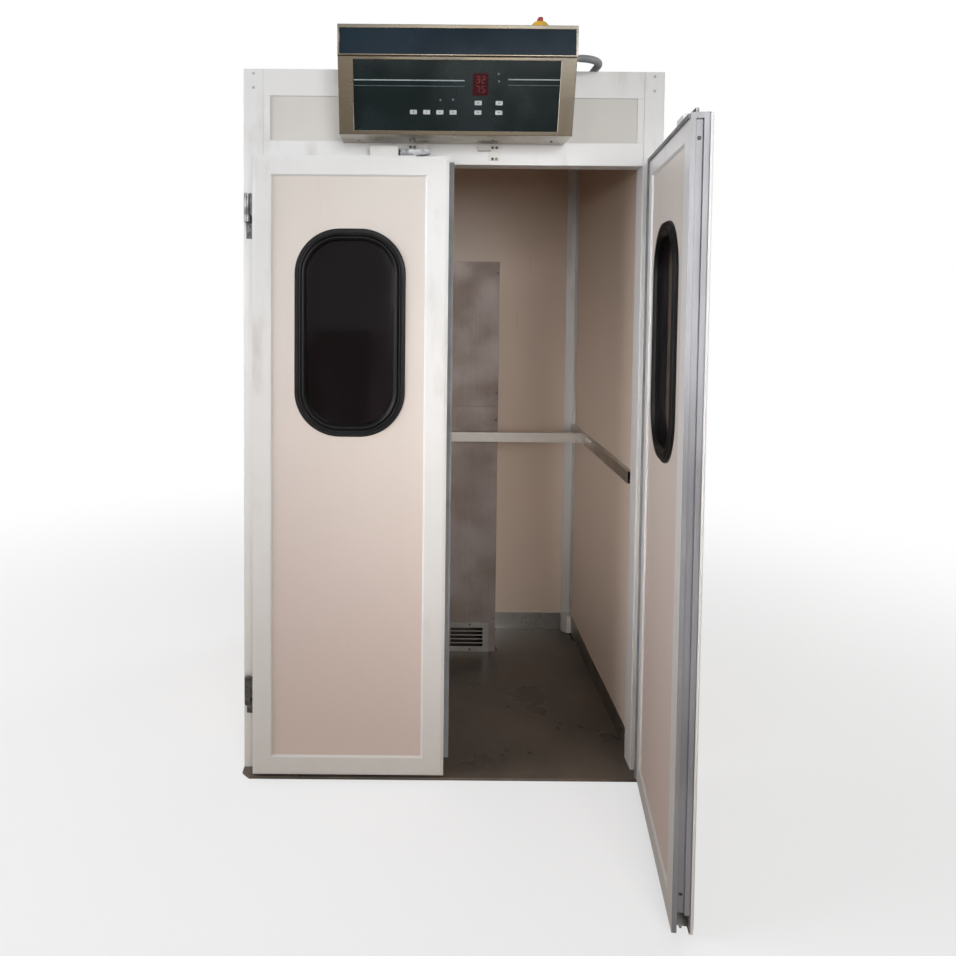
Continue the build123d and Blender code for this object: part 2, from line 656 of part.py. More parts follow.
def roof_trims():
    """Angle strips that close the roof panel's edges."""
    rise, top = (ROOF_BOTTOM, CHAMBER_HEIGHT), (ROOF_TOP, CHAMBER_HEIGHT)
    run = (POST_DEPTH, CHAMBER_DEPTH - SHEET)
    side = span((PANEL_OUTER, HALF_WIDTH), run, rise)
    side += span((PANEL_OUTER - TRIM_FLANGE, HALF_WIDTH), run, top)
    back = span((-HALF_WIDTH, HALF_WIDTH), (CHAMBER_DEPTH - SHEET, CHAMBER_DEPTH), rise)
    reach = PANEL_OUTER - TRIM_FLANGE
    back += span((-reach, reach), (CHAMBER_DEPTH - SHEET - TRIM_FLANGE, CHAMBER_DEPTH), top)
    return both_sides(side) + [back]


def bumper_rails():
    """Box section rails along the side walls and in front of the column, and two angles."""
    rise = (RAIL_BOTTOM, RAIL_TOP)
    hollow_rise = (RAIL_BOTTOM + RAIL_SHEET, RAIL_TOP - RAIL_SHEET)
    run = (POST_DEPTH + RAIL_FRONT_GAP, BACK_INNER_Y - CORNER_COVER - RAIL_SHEET)
    side = span((RAIL_INNER_X, PANEL_INNER), run, rise)
    side -= span((RAIL_INNER_X + RAIL_SHEET, PANEL_INNER - RAIL_SHEET), run, hollow_rise)
    back = span((-RAIL_INNER_X, RAIL_INNER_X), (BACK_RAIL_FRONT_Y, BACK_RAIL_BACK_Y), rise)
    back -= span(
        (-RAIL_INNER_X, RAIL_INNER_X),
        (BACK_RAIL_FRONT_Y + RAIL_SHEET, BACK_RAIL_BACK_Y - RAIL_SHEET), hollow_rise,
    )
    back_leg = span(
        (RAIL_INNER_X - BRACKET_LEG, RAIL_INNER_X),
        (BACK_RAIL_BACK_Y, BACK_RAIL_BACK_Y + BRACKET_SHEET), hollow_rise,
    )
    side_leg = span(
        (RAIL_INNER_X - BRACKET_SHEET, RAIL_INNER_X),
        (BACK_RAIL_BACK_Y, BACK_RAIL_BACK_Y + BRACKET_LEG), hollow_rise,
    )
    return both_sides(side) + [back] + both_sides(back_leg + side_leg)


# Climate column
def column_casing():
    """Folded side plates with front flanges, top plate with the fan opening, back and base."""
    rise = (FLOOR_THICKNESS, COLUMN_TOP)
    front = COLUMN_FRONT_Y + SHEET
    side = span((COLUMN_HALF - SHEET, COLUMN_HALF), (front, COLUMN_BACK_Y), rise)
    flange = span(
        (COLUMN_HALF - COLUMN_FLANGE, COLUMN_HALF - SHEET), (front, front + SHEET), rise
    )
    inner = (-COLUMN_HALF + SHEET, COLUMN_HALF - SHEET)
    inside = (front + SHEET, COLUMN_BACK_Y - SHEET)
    top = span(inner, inside, (COLUMN_TOP - SHEET, COLUMN_TOP))
    axis = ((0, COLUMN_MIDDLE_Y, COLUMN_TOP - SHEET), (0, COLUMN_MIDDLE_Y, COLUMN_TOP))
    top -= cylinder(FAN_OPENING_R, *axis)
    base = span(inner, inside, (FLOOR_THICKNESS, FLOOR_THICKNESS + SHEET))
    back = span(inner, (COLUMN_BACK_Y - SHEET, COLUMN_BACK_Y), rise)
    flanges = [screw_holes(piece, column_screw_places(), (0, -1, 0)) for piece in both_sides(flange)]
    left, right = both_sides(side)
    probe = (COLUMN_MIDDLE_Y, PROBE_Z)
    left -= cylinder(PROBE_R, (-COLUMN_HALF, *probe), (-COLUMN_HALF + SHEET, *probe))
    return [left, right, top, base, back] + flanges


def column_front_panels():
    """Upper and lower front sheets; the lower one has the air inlet behind the grille."""
    across = (-COLUMN_HALF, COLUMN_HALF)
    depth = (COLUMN_FRONT_Y, COLUMN_FRONT_Y + SHEET)
    upper = span(across, depth, (COLUMN_JOINT + LOOSE_GAP, COLUMN_TOP))
    lower = span(across, depth, (FLOOR_THICKNESS, COLUMN_JOINT))
    inlet = (GRILLE_SLOTS_BOTTOM, GRILLE_SLOTS_TOP)
    lower -= span((-GRILLE_SLOT_REACH, GRILLE_SLOT_REACH), depth, inlet)
    screws = column_screw_places() + [(x, COLUMN_FRONT_Y, z) for x, _, z in grille_screw_places()]
    return [screw_holes(sheet, screws, (0, -1, 0)) for sheet in (upper, lower)]


def column_grille():
    """Grille over the air inlet: plates round its edge, with slats welded between them."""
    depth = (COLUMN_FRONT_Y - GRILLE_SHEET, COLUMN_FRONT_Y)
    half, middle = GRILLE_WIDTH / 2, GRILLE_MULLION / 2
    rise = (GRILLE_SLOTS_BOTTOM, GRILLE_SLOTS_TOP)
    low_screws, high_screws = grille_screw_places()[::2], grille_screw_places()[1::2]
    low = span((-half, half), depth, (FLOOR_THICKNESS, GRILLE_SLOTS_BOTTOM))
    high = span((-half, half), depth, (GRILLE_SLOTS_TOP, GRILLE_TOP))
    pieces = [screw_holes(low, low_screws, (0, -1, 0)), screw_holes(high, high_screws, (0, -1, 0))]
    pieces.append(span((-middle, middle), depth, rise))
    pieces += both_sides(span((GRILLE_SLOT_REACH, half), depth, rise))
    for row in range(1, GRILLE_SLOT_COUNT):
        top = GRILLE_SLOTS_BOTTOM + row * GRILLE_SLOT_PITCH
        slat = (top - GRILLE_SLOT_PITCH + GRILLE_SLOT_HEIGHT, top)
        pieces += both_sides(span((middle, GRILLE_SLOT_REACH), depth, slat))
    return pieces


def fan_motor():
    """Motor standing on a cross plate between the column's sides."""
    y = COLUMN_MIDDLE_Y
    plate = span(
        (-COLUMN_HALF + SHEET, COLUMN_HALF - SHEET),
        (y - FAN_BRACKET_WIDTH / 2, y + FAN_BRACKET_WIDTH / 2),
        (FAN_BRACKET_Z, FAN_BRACKET_Z + FAN_BRACKET_SHEET),
    )
    low = FAN_BRACKET_Z + FAN_BRACKET_SHEET
    motor = cylinder(MOTOR_R, (0, y, low), (0, y, low + MOTOR_HEIGHT))
    motor = fillet(motor.edges().group_by(Axis.Z)[-1], MOTOR_ROUND)
    top = low + MOTOR_HEIGHT
    bore = cylinder(SHAFT_R + RUNNING_FIT, (0, y, top - SHAFT_IN_MOTOR), (0, y, top))
    return [plate, motor - bore]


def fan_impeller():
    """Axial wheel with its shaft, turning below the opening in the column's top."""
    y = COLUMN_MIDDLE_Y
    motor_top = FAN_BRACKET_Z + FAN_BRACKET_SHEET + MOTOR_HEIGHT
    low = motor_top + IMPELLER_RISE
    high = low + IMPELLER_HEIGHT
    hub = cylinder(IMPELLER_HUB_R, (0, y, low), (0, y, high))
    shaft_end = motor_top - SHAFT_IN_MOTOR + LOOSE_GAP
    wheel = hub + cylinder(SHAFT_R, (0, y, shaft_end), (0, y, low))
    limit = cylinder(IMPELLER_R, (0, y, low), (0, y, high))
    blade = Rot(BLADE_PITCH_DEG, 0, 0) * Box(IMPELLER_R, IMPELLER_HEIGHT * 2, BLADE_SHEET)
    blade = Pos(IMPELLER_HUB_R + IMPELLER_R / 2 - BLADE_SHEET, 0, 0) * blade
    for number in range(BLADE_COUNT):
        turned = Rot(0, 0, number * 360 / BLADE_COUNT) * blade
        wheel += (Pos(0, y, (low + high) / 2) * turned) & limit
    return wheel


def air_heater():
    """Hairpin rods on a flange fixed to the column's right side."""
    plate_x = COLUMN_HALF - SHEET
    top = HEATER_LOWEST + (HEATER_COUNT - 1) * HEATER_PITCH
    half = HEATER_LEG_SPREAD / 2 + HEATER_FLANGE_MARGIN
    flange = span(
        (plate_x - HEATER_FLANGE, plate_x), (COLUMN_MIDDLE_Y - half, COLUMN_MIDDLE_Y + half),
        (HEATER_LOWEST - HEATER_FLANGE_MARGIN, top + HEATER_FLANGE_MARGIN),
    )
    start = plate_x - HEATER_FLANGE
    end = SHEET - COLUMN_HALF + HEATER_END_GAP + HEATER_LEG_SPREAD / 2
    pieces = [flange]
    for number in range(HEATER_COUNT):
        z = HEATER_LOWEST + number * HEATER_PITCH
        near, far = COLUMN_MIDDLE_Y - HEATER_LEG_SPREAD / 2, COLUMN_MIDDLE_Y + HEATER_LEG_SPREAD / 2
        bend = ThreePointArc(
            (end, near, z), (end - HEATER_LEG_SPREAD / 2, COLUMN_MIDDLE_Y, z), (end, far, z)
        )
        path = Wire([Line((start, near, z), (end, near, z)), bend, Line((end, far, z), (start, far, z))])
        pieces.append(sweep(Plane(origin=(start, near, z), z_dir=(-1, 0, 0)) * Circle(HEATER_ROD_R), path))
    return pieces


def humidifier():
    """Water tank with a lid, and the steam pipe that rises from it."""
    y = (TANK_MIDDLE_Y - TANK_DEPTH / 2, TANK_MIDDLE_Y + TANK_DEPTH / 2)
    x = (TANK_MIDDLE_X - TANK_WIDTH / 2, TANK_MIDDLE_X + TANK_WIDTH / 2)
    low = FLOOR_THICKNESS + SHEET
    top = low + TANK_HEIGHT
    tank = span(x, y, (low, top))
    tank -= span(
        (x[0] + SHEET, x[1] - SHEET), (y[0] + SHEET, y[1] - SHEET), (low + SHEET, top)
    )
    foot, mouth = (TANK_MIDDLE_X, TANK_MIDDLE_Y, top), (TANK_MIDDLE_X, TANK_MIDDLE_Y, STEAM_PIPE_TOP)
    lid = span(x, y, (top, top + TANK_LID)) - cylinder(STEAM_PIPE_R, foot, mouth)
    pipe = cylinder(STEAM_PIPE_R, foot, mouth) - cylinder(STEAM_PIPE_BORE_R, foot, mouth)
    return [tank, lid, pipe]


def climate_probe():
    """Probe on the column's left side, clear of the trolleys."""
    side = -COLUMN_HALF
    y, z = COLUMN_MIDDLE_Y, PROBE_Z
    nut = cylinder(PROBE_NUT_R, (side, y, z), (side - PROBE_NUT, y, z))
    return nut + cylinder(PROBE_R, (side + PROBE_TAIL, y, z), (side - PROBE_REACH, y, z))


# Doors, drawn closed on the right-hand side
def bar_section(width, channel):
    """A door bar's section as (inward, depth) points, from its outer edge to the panel."""
    t, step, drop = DOOR_THICKNESS, DOOR_EDGE_STEP, DOOR_EDGE_STEP_DEPTH
    recess, bead, bite = DOOR_PANEL_RECESS, DOOR_BEAD, PANEL_BITE
    points = [(0, drop), (step, drop), (step, 0), (width - bead, 0), (width, bead)]
    points += [(width, recess), (width - bite, recess), (width - bite, t - recess)]
    points += [(width, t - recess), (width, t - bead), (width - bead, t), (0, t)]
    if channel:
        near, far = EDGE_CHANNEL_SETBACK, EDGE_CHANNEL_SETBACK + EDGE_CHANNEL_WIDTH
        groove = EDGE_LIP + EDGE_GROOVE_WIDTH
        points += [
            (0, far), (EDGE_CHANNEL_DEPTH, far), (EDGE_CHANNEL_DEPTH, near), (0, near),
            (0, groove), (EDGE_GROOVE_DEPTH, groove), (EDGE_GROOVE_DEPTH, EDGE_LIP), (0, EDGE_LIP),
        ]
    return points


def bar_hollow(width, channel):
    """The hollow inside a door bar's section, between its edge, its faces and the panel groove."""
    near = BAR_WALL + (EDGE_CHANNEL_DEPTH if channel else 0)
    far = width - PANEL_BITE - BAR_WALL
    front, back = DOOR_EDGE_STEP_DEPTH + BAR_WALL, DOOR_THICKNESS - BAR_WALL
    return [(near, front), (far, front), (far, back), (near, back)]


def door_frame(meeting_x):
    """Four mitred hollow bars round the door panel."""
    outer, inner = DOOR_OUTER_X, meeting_x
    hinge_in, meet_in = outer - DOOR_HINGE_STILE, inner + DOOR_MEETING_STILE
    low_in, top_in = DOOR_BOTTOM + DOOR_RAIL, DOOR_TOP - DOOR_RAIL

    def cut(points):
        outline = make_face(Polyline(*points, close=True))
        return facing_front(outline, DOOR_FRONT_Y, DOOR_BACK_Y)

    def stile(edge, inward, width, channel):
        def prism(points):
            section = [(edge + inward * u, DOOR_FRONT_Y + v) for u, v in points]
            return upright(make_face(Polyline(*section, close=True)), DOOR_BOTTOM, DOOR_TOP)
        return prism(bar_section(width, channel)) - prism(bar_hollow(width, channel))

    def rail(edge, inward):
        def prism(points):
            section = [(DOOR_FRONT_Y + v, edge + inward * u) for u, v in points]
            return side_profile(section, inner, outer)
        return prism(bar_section(DOOR_RAIL, False)) - prism(bar_hollow(DOOR_RAIL, False))

    hinge = stile(outer, -1, DOOR_HINGE_STILE, False) & cut(
        [(outer, DOOR_BOTTOM), (hinge_in, low_in), (hinge_in, top_in), (outer, DOOR_TOP)]
    )
    meeting = stile(inner, 1, DOOR_MEETING_STILE, True) & cut(
        [(inner, DOOR_BOTTOM), (meet_in, low_in), (meet_in, top_in), (inner, DOOR_TOP)]
    )
    low = rail(DOOR_BOTTOM, 1) & cut(
        [(inner, DOOR_BOTTOM), (outer, DOOR_BOTTOM), (hinge_in, low_in), (meet_in, low_in)]
    )
    top = rail(DOOR_TOP, -1) & cut(
        [(inner, DOOR_TOP), (outer, DOOR_TOP), (hinge_in, top_in), (meet_in, top_in)]
    )
    channel_y = (
        DOOR_FRONT_Y + EDGE_CHANNEL_SETBACK, DOOR_FRONT_Y + EDGE_CHANNEL_SETBACK + EDGE_CHANNEL_WIDTH
    )
    cap = span(
        (inner, inner + EDGE_CHANNEL_DEPTH), channel_y, (DOOR_TOP - EDGE_CHANNEL_CAP, DOOR_TOP)
    )
    pocket = span(
        (inner, inner + EDGE_POCKET_DEPTH), (DOOR_FRONT_Y + EDGE_POCKET_SETBACK, channel_y[1]),
        (DOOR_BOTTOM, DOOR_BOTTOM + EDGE_POCKET_HEIGHT),
    )
    return [hinge, (meeting + cap) - pocket, low - pocket, top]


def door_middle(meeting_x):
    """Middle of the door's width, where its window sits."""
    return (DOOR_OUTER_X + meeting_x) / 2


def window_outline(meeting_x, inset):
    """The window's rounded outline, drawn in by an inset."""
    size = (WINDOW_WIDTH - 2 * inset, WINDOW_HEIGHT - 2 * inset)
    return Pos(door_middle(meeting_x), WINDOW_Z) * RectangleRounded(*size, WINDOW_CORNER_R - inset)


def panel_slab(meeting_x, front, back):
    """A layer of the door panel between two depths, with the window's hole."""
    x = (meeting_x + DOOR_MEETING_STILE - PANEL_BITE, DOOR_OUTER_X - DOOR_HINGE_STILE + PANEL_BITE)
    z = (DOOR_BOTTOM + DOOR_RAIL - PANEL_BITE, DOOR_TOP - DOOR_RAIL + PANEL_BITE)
    hole = facing_front(window_outline(meeting_x, GASKET_LAP), front, back)
    return span(x, (front, back), z) - hole


def panel_faces():
    """Depths of the door panel's front and back faces."""
    return DOOR_FRONT_Y + DOOR_PANEL_RECESS, DOOR_BACK_Y - DOOR_PANEL_RECESS


def door_skins(meeting_x):
    """Painted sheets on both faces of the door panel."""
    front, back = panel_faces()
    return [panel_slab(meeting_x, front, front + SKIN), panel_slab(meeting_x, back - SKIN, back)]


def door_core(meeting_x):
    """Foam between the door panel's sheets."""
    front, back = panel_faces()
    return panel_slab(meeting_x, front + SKIN, back - SKIN)


def pane_faces():
    """Depths of the two panes, spaced evenly about the middle of the door."""
    middle = (DOOR_FRONT_Y + DOOR_BACK_Y) / 2
    return [
        (middle - PANE_GAP / 2 - PANE, middle - PANE_GAP / 2),
        (middle + PANE_GAP / 2, middle + PANE_GAP / 2 + PANE),
    ]


def window_gasket(meeting_x):
    """Rubber ring that clamps the panel's edge and holds both panes."""
    front, back = panel_faces()
    ring = facing_front(window_outline(meeting_x, GASKET_LAP), front, back)
    lip_inset = GASKET_BAND - GASKET_LIP
    for face, out in ((front, -1), (back, 1)):
        flange_face = face + out * GASKET_STAND
        depths = sorted((face, flange_face))
        flange = facing_front(window_outline(meeting_x, 0), *depths)
        outer_face = flange.faces().filter_by(Plane.XZ).sort_by(Axis.Y)[0 if out < 0 else -1]
        flange = fillet(outer_face.edges(), GASKET_ROUND)
        lip_depths = sorted((flange_face, flange_face + out * GASKET_LIP_STAND))
        ring += flange + facing_front(window_outline(meeting_x, lip_inset), *lip_depths)
    far = GASKET_STAND + GASKET_LIP_STAND
    ring -= facing_front(window_outline(meeting_x, GASKET_BAND), front - far, back + far)
    for depths in pane_faces():
        ring -= facing_front(window_outline(meeting_x, GASKET_BAND - PANE_BITE), *depths)
    return ring


def window_panes(meeting_x):
    """Two panes seated in the gasket's grooves."""
    outline = window_outline(meeting_x, GASKET_BAND - PANE_BITE)
    return [facing_front(outline, *depths) for depths in pane_faces()]


def door_seals(meeting_x):
    """Gasket on the back of the door at its hinge side and top, and a lip under the door."""
    depth = (DOOR_BACK_Y, -SEAL_CLEARANCE)
    outer, top = DOOR_OUTER_X - SEAL_INSET, DOOR_TOP - SEAL_INSET
    bottom = DOOR_BOTTOM + SEAL_INSET
    side = span((outer - SEAL_WIDTH, outer), depth, (bottom, top))
    across = span((meeting_x + SEAL_INSET, outer - SEAL_WIDTH), depth, (top - SEAL_WIDTH, top))
    middle_y = (DOOR_FRONT_Y + DOOR_BACK_Y) / 2
    lip = span(
        (meeting_x + EDGE_POCKET_DEPTH + SEAL_INSET, DOOR_OUTER_X - SEAL_INSET),
        (middle_y - LIP_THICKNESS / 2, middle_y + LIP_THICKNESS / 2),
        (DOOR_BOTTOM - LIP_HEIGHT, DOOR_BOTTOM),
    )
    return [side, across, lip]


def meeting_strip(meeting_x):
    """Strip seated in the left door's edge channel, closing the gap between the doors."""
    y = DOOR_FRONT_Y + EDGE_CHANNEL_SETBACK
    low = DOOR_BOTTOM + EDGE_POCKET_HEIGHT
    strip = span(
        (meeting_x - MEETING_STRIP_REACH, meeting_x + EDGE_CHANNEL_DEPTH),
        (y, y + EDGE_CHANNEL_WIDTH), (low, DOOR_TOP - EDGE_CHANNEL_CAP),
    )
    return strip


# Hinges, drawn on the right-hand side
def hinge_post_halves():
    """Lower halves: a plate on the post that carries the short knuckle."""
    pieces = []
    x, y = HINGE_PIN_X, HINGE_PIN_Y
    for joint in HINGE_JOINT_HEIGHTS:
        low = joint - HINGE_LOWER_KNUCKLE
        half = HINGE_PLATE_WIDTH / 2
        plate = span((x - half, x + half), (-HINGE_PLATE, 0), (joint - HINGE_LOWER, joint))
        arm = span((x - HINGE_KNUCKLE_R, x + HINGE_KNUCKLE_R), (y, -HINGE_PLATE), (low, joint))
        piece = plate + arm + cylinder(HINGE_KNUCKLE_R, (x, y, low), (x, y, joint))
        piece -= cylinder(HINGE_PIN_R, (x, y, low), (x, y, joint))
        screws = [place for place in hinge_screw_places() if place[0] > 0]
        pieces.append(screw_holes(piece, screws, (0, -1, 0)))
    return [solid for piece in pieces for solid in both_sides(piece)]


def hinge_pins():
    """Pins fixed in the lower halves, running in the upper ones."""
    pieces = []
    for joint in HINGE_JOINT_HEIGHTS:
        low = (HINGE_PIN_X, HINGE_PIN_Y, joint - HINGE_LOWER_KNUCKLE)
        high = (HINGE_PIN_X, HINGE_PIN_Y, joint + HINGE_UPPER - HINGE_LEAF)
        pieces += both_sides(cylinder(HINGE_PIN_R, low, high))
    return pieces


def hinge_door_halves():
    """Upper halves: a leaf on the door's edge with a long knuckle, closed at its top."""
    pieces = []
    x, y = HINGE_PIN_X, HINGE_PIN_Y
    for joint in HINGE_JOINT_HEIGHTS:
        low, high = joint + HINGE_GAP, joint + HINGE_UPPER
        leaf = span(
            (DOOR_OUTER_X, DOOR_OUTER_X + HINGE_LEAF),
            (y - HINGE_LEAF, y - HINGE_LEAF + HINGE_LEAF_WIDTH), (low, high),
        )
        arm = span((DOOR_OUTER_X, x), (y - HINGE_LEAF, y + HINGE_LEAF), (low, high))
        piece = leaf + arm + cylinder(HINGE_KNUCKLE_R, (x, y, low), (x, y, high))
        bore_top = high - HINGE_LEAF + LOOSE_GAP
        pieces.append(piece - cylinder(HINGE_PIN_R + RUNNING_FIT, (x, y, low), (x, y, bore_top)))
    return pieces


# Latches on the doors' top edges, drawn on the right-hand side
def latch_body():
    """Housing on a base plate, with the nose's pivot standing beside it."""
    plate_top = DOOR_TOP + LATCH_PLATE
    depth = (LATCH_FRONT_Y, LATCH_BACK_Y)
    plate = span((LATCH_INNER_X, LATCH_OUTER_X), depth, (DOOR_TOP, plate_top))
    housing = span((LATCH_HOUSING_X, LATCH_OUTER_X), depth, (plate_top, DOOR_TOP + LATCH_HEIGHT))
    housing = fillet(housing.edges().group_by(Axis.Z)[-1], LATCH_ROUND)
    pivot = cylinder(
        LATCH_PIVOT_R, (LATCH_PIVOT_X, LATCH_PIVOT_Y, plate_top),
        (LATCH_PIVOT_X, LATCH_PIVOT_Y, plate_top + LATCH_CLEARANCE + LATCH_NOSE_HEIGHT),
    )
    return plate + housing + pivot


def latch_nose():
    """Tapered nose that turns on the pivot and rides over the striker's tongue."""
    x, y = LATCH_PIVOT_X, LATCH_PIVOT_Y
    low = DOOR_TOP + LATCH_PLATE + LATCH_CLEARANCE
    high = low + LATCH_NOSE_HEIGHT
    half, tip_half = LATCH_ARM_THICKNESS / 2, LATCH_NOSE_TIP_THICKNESS / 2
    plan = make_face(Polyline(
        (x, y - half), (x, y + half), (LATCH_NOSE_TIP_X, y + tip_half),
        (LATCH_NOSE_TIP_X, y - tip_half), close=True,
    ))
    nose = upright(plan, low, high)
    tip_low = high - LATCH_NOSE_TIP_HEIGHT
    under = make_face(Polyline(
        (LATCH_INNER_X, low), (LATCH_NOSE_TIP_X, low), (LATCH_NOSE_TIP_X, tip_low), close=True
    ))
    nose -= facing_front(under, y - LATCH_ARM_THICKNESS, y + LATCH_ARM_THICKNESS)
    nose += cylinder(LATCH_EYE_R, (x, y, low), (x, y, high))
    return nose - cylinder(LATCH_PIVOT_R + RUNNING_FIT, (x, y, low), (x, y, high))


def latch_strikers():
    """Plates screwed to the header, each with a tongue that reaches towards the middle."""
    inner, outer = STRIKER_INNER_X, STRIKER_INNER_X + STRIKER_WIDTH
    top = STRIKER_BOTTOM + STRIKER_HEIGHT
    plate = span((inner, outer), (-STRIKER_PLATE, 0), (STRIKER_BOTTOM, top))
    nose_back = LATCH_PIVOT_Y + LATCH_ARM_THICKNESS / 2
    reach_y = nose_back + TONGUE_GAP
    plan = make_face(Polyline(
        (inner + TONGUE_LAP, -STRIKER_PLATE), (inner + TONGUE_LAP, reach_y / 2),
        (inner - TONGUE_REACH + TONGUE_TIP, reach_y), (inner - TONGUE_REACH, reach_y + TONGUE_TIP),
        (inner - TONGUE_REACH, reach_y + 2 * TONGUE_TIP), (inner, -STRIKER_PLATE), close=True,
    ))
    piece = plate + upright(plan, top - TONGUE_HEIGHT, top)
    places = [place for place in striker_screw_places() if place[0] > 0]
    return both_sides(screw_holes(piece, places, (0, -1, 0)))


# Control box
def box_outline():
    """The box's side view as (y, z) points, with its sloping face below the band."""
    return [
        (0, BOX_BOTTOM), (-BOX_LOW_DEPTH, BOX_BOTTOM), (-BOX_SLOPE_TOP_DEPTH, BOX_SLOPE_TOP),
        (-BOX_DEPTH, BOX_SLOPE_TOP), (-BOX_DEPTH, BOX_TOP), (0, BOX_TOP),
    ]


def on_slope(x, z, shape, depth, thickness):
    """A flat outline on the sloping face, sunk to a depth and as thick as asked."""
    rise = (z - SLOPE_MIDDLE_Z) / math.cos(SLOPE)
    return extrude(SLOPE_PLANE * Pos(x, rise, -depth - thickness) * shape, thickness)


def key_window_height():
    """Height of the middle of the sloping window."""
    return SLOPE_MIDDLE_Z + KEY_WINDOW_RISE * math.cos(SLOPE)


def box_shell():
    """Folded steel shell, open behind, with a window for each dark panel."""
    half = BOX_WIDTH / 2
    outer = side_profile(box_outline(), -half, half)
    room = Plane.YZ * offset(make_face(Polyline(*box_outline(), close=True)), -SHEET)
    outer -= extrude(Pos(-half + SHEET, 0, 0) * room, BOX_WIDTH - 2 * SHEET)
    inside = (-half + SHEET, half - SHEET)
    outer -= span(inside, (-2 * SHEET, 0), (BOX_BOTTOM + SHEET, BOX_TOP - SHEET))
    band = (-BAND_WINDOW_WIDTH / 2, BAND_WINDOW_WIDTH / 2)
    outer -= span(band, (-BOX_DEPTH, -BOX_DEPTH + SHEET), (BAND_WINDOW_BOTTOM, BAND_WINDOW_TOP))
    opening = Rectangle(KEY_WINDOW_WIDTH, KEY_WINDOW_HEIGHT)
    outer -= on_slope(0, key_window_height(), opening, 0, SHEET)
    x, y = MAIN_SWITCH_X, MAIN_SWITCH_Y
    outer -= cylinder(KNOB_HOLE_R, (x, y, BOX_TOP - SHEET), (x, y, BOX_TOP))
    outer -= cylinder(
        CONDUIT_BORE_R, (half - SHEET, CONDUIT_Y, CONDUIT_Z), (half, CONDUIT_Y, CONDUIT_Z)
    )
    return screw_holes(outer, box_screw_places(), (0, 0, -1))


def box_back_plate():
    """Plate that closes the box behind and carries the power unit."""
    half = BOX_WIDTH / 2 - SHEET
    return span((-half, half), (-SHEET, 0), (BOX_BOTTOM + SHEET, BOX_TOP - SHEET))


def box_upper_panel():
    """Bare dark panel behind the band's window."""
    half = BAND_WINDOW_WIDTH / 2 + BAND_PANEL_LAP
    y = -BOX_DEPTH + SHEET
    z = (BAND_WINDOW_BOTTOM - BAND_PANEL_LOW_LAP, BAND_WINDOW_TOP + BAND_PANEL_LAP)
    return span((-half, half), (y, y + BOX_PANEL), z)


def key_places():
    """Middle of each key as (x, z), the row first and then the grid."""
    row = [(x, SLOPE_MIDDLE_Z - KEY_ROW_DROP) for x in KEY_ROW_X]
    return row + [(x, SLOPE_MIDDLE_Z - drop) for drop in KEY_GRID_DROPS for x in KEY_GRID_X]


def display_outline(margin):
    return RectangleRounded(
        DISPLAY_WIDTH - 2 * margin, DISPLAY_HEIGHT - 2 * margin, DISPLAY_CORNER_R
    )


def box_key_panel():
    """Dark panel behind the sloping window, with holes for the keys and the display."""
    size = (KEY_WINDOW_WIDTH + 2 * BOX_PANEL_LAP, KEY_WINDOW_HEIGHT + 2 * BOX_PANEL_LAP)
    panel = on_slope(0, key_window_height(), Rectangle(*size), SHEET, BOX_PANEL)
    gap = 2 * KEY_CLEARANCE
    hole = RectangleRounded(KEY_WIDTH + gap, KEY_HEIGHT + gap, KEY_CORNER_R + KEY_CLEARANCE)
    for x, z in key_places():
        panel -= on_slope(x, z, hole, SHEET, BOX_PANEL)
    return panel - on_slope(DISPLAY_X, SLOPE_MIDDLE_Z + DISPLAY_RISE, display_outline(0), SHEET, BOX_PANEL)


def display_window():
    """Red pane that fills the display's hole in the key panel."""
    return on_slope(DISPLAY_X, SLOPE_MIDDLE_Z + DISPLAY_RISE, display_outline(0), SHEET, BOX_PANEL)


def key(x, z):
    """Key cap with a retaining flange behind the panel and a stem over its switch."""
    face = SHEET - KEY_STAND
    flange_depth = KEY_PANEL_BACK + LOOSE_GAP
    cap = RectangleRounded(KEY_WIDTH, KEY_HEIGHT, KEY_CORNER_R)
    rim = Rectangle(KEY_WIDTH + 2 * KEY_FLANGE_LAP, KEY_HEIGHT + 2 * KEY_FLANGE_LAP)
    piece = on_slope(x, z, cap, face, flange_depth - face)
    piece += on_slope(x, z, rim, flange_depth, KEY_FLANGE)
    return piece + on_slope(
        x, z, Rectangle(KEY_STEM, KEY_STEM), flange_depth + KEY_FLANGE, KEY_STEM_LENGTH
    )


def control_board():
    """Circuit board on four posts, with a switch under each key and the display module."""
    rise = SLOPE_MIDDLE_Z + BOARD_RISE
    board = on_slope(0, rise, Rectangle(BOARD_WIDTH, BOARD_HEIGHT), BOARD_FACE, BOARD_SHEET)
    reach_x = BOARD_WIDTH / 2 - BOARD_POST_INSET
    reach_z = (BOARD_HEIGHT / 2 - BOARD_POST_INSET) * math.cos(SLOPE)
    for x in (-reach_x, reach_x):
        for z in (rise - reach_z, rise + reach_z):
            board += on_slope(
                x, z, Circle(BOARD_POST_R), KEY_PANEL_BACK, BOARD_FACE - KEY_PANEL_BACK
            )
    for x, z in key_places():
        button = Rectangle(SWITCH_SIDE, SWITCH_SIDE)
        board += on_slope(x, z, button, BOARD_FACE - SWITCH_HEIGHT, SWITCH_HEIGHT)
    module = display_outline(DISPLAY_MODULE_MARGIN)
    start = KEY_PANEL_BACK + DISPLAY_MODULE_GAP
    return board + on_slope(DISPLAY_X, SLOPE_MIDDLE_Z + DISPLAY_RISE, module, start, BOARD_FACE - start)


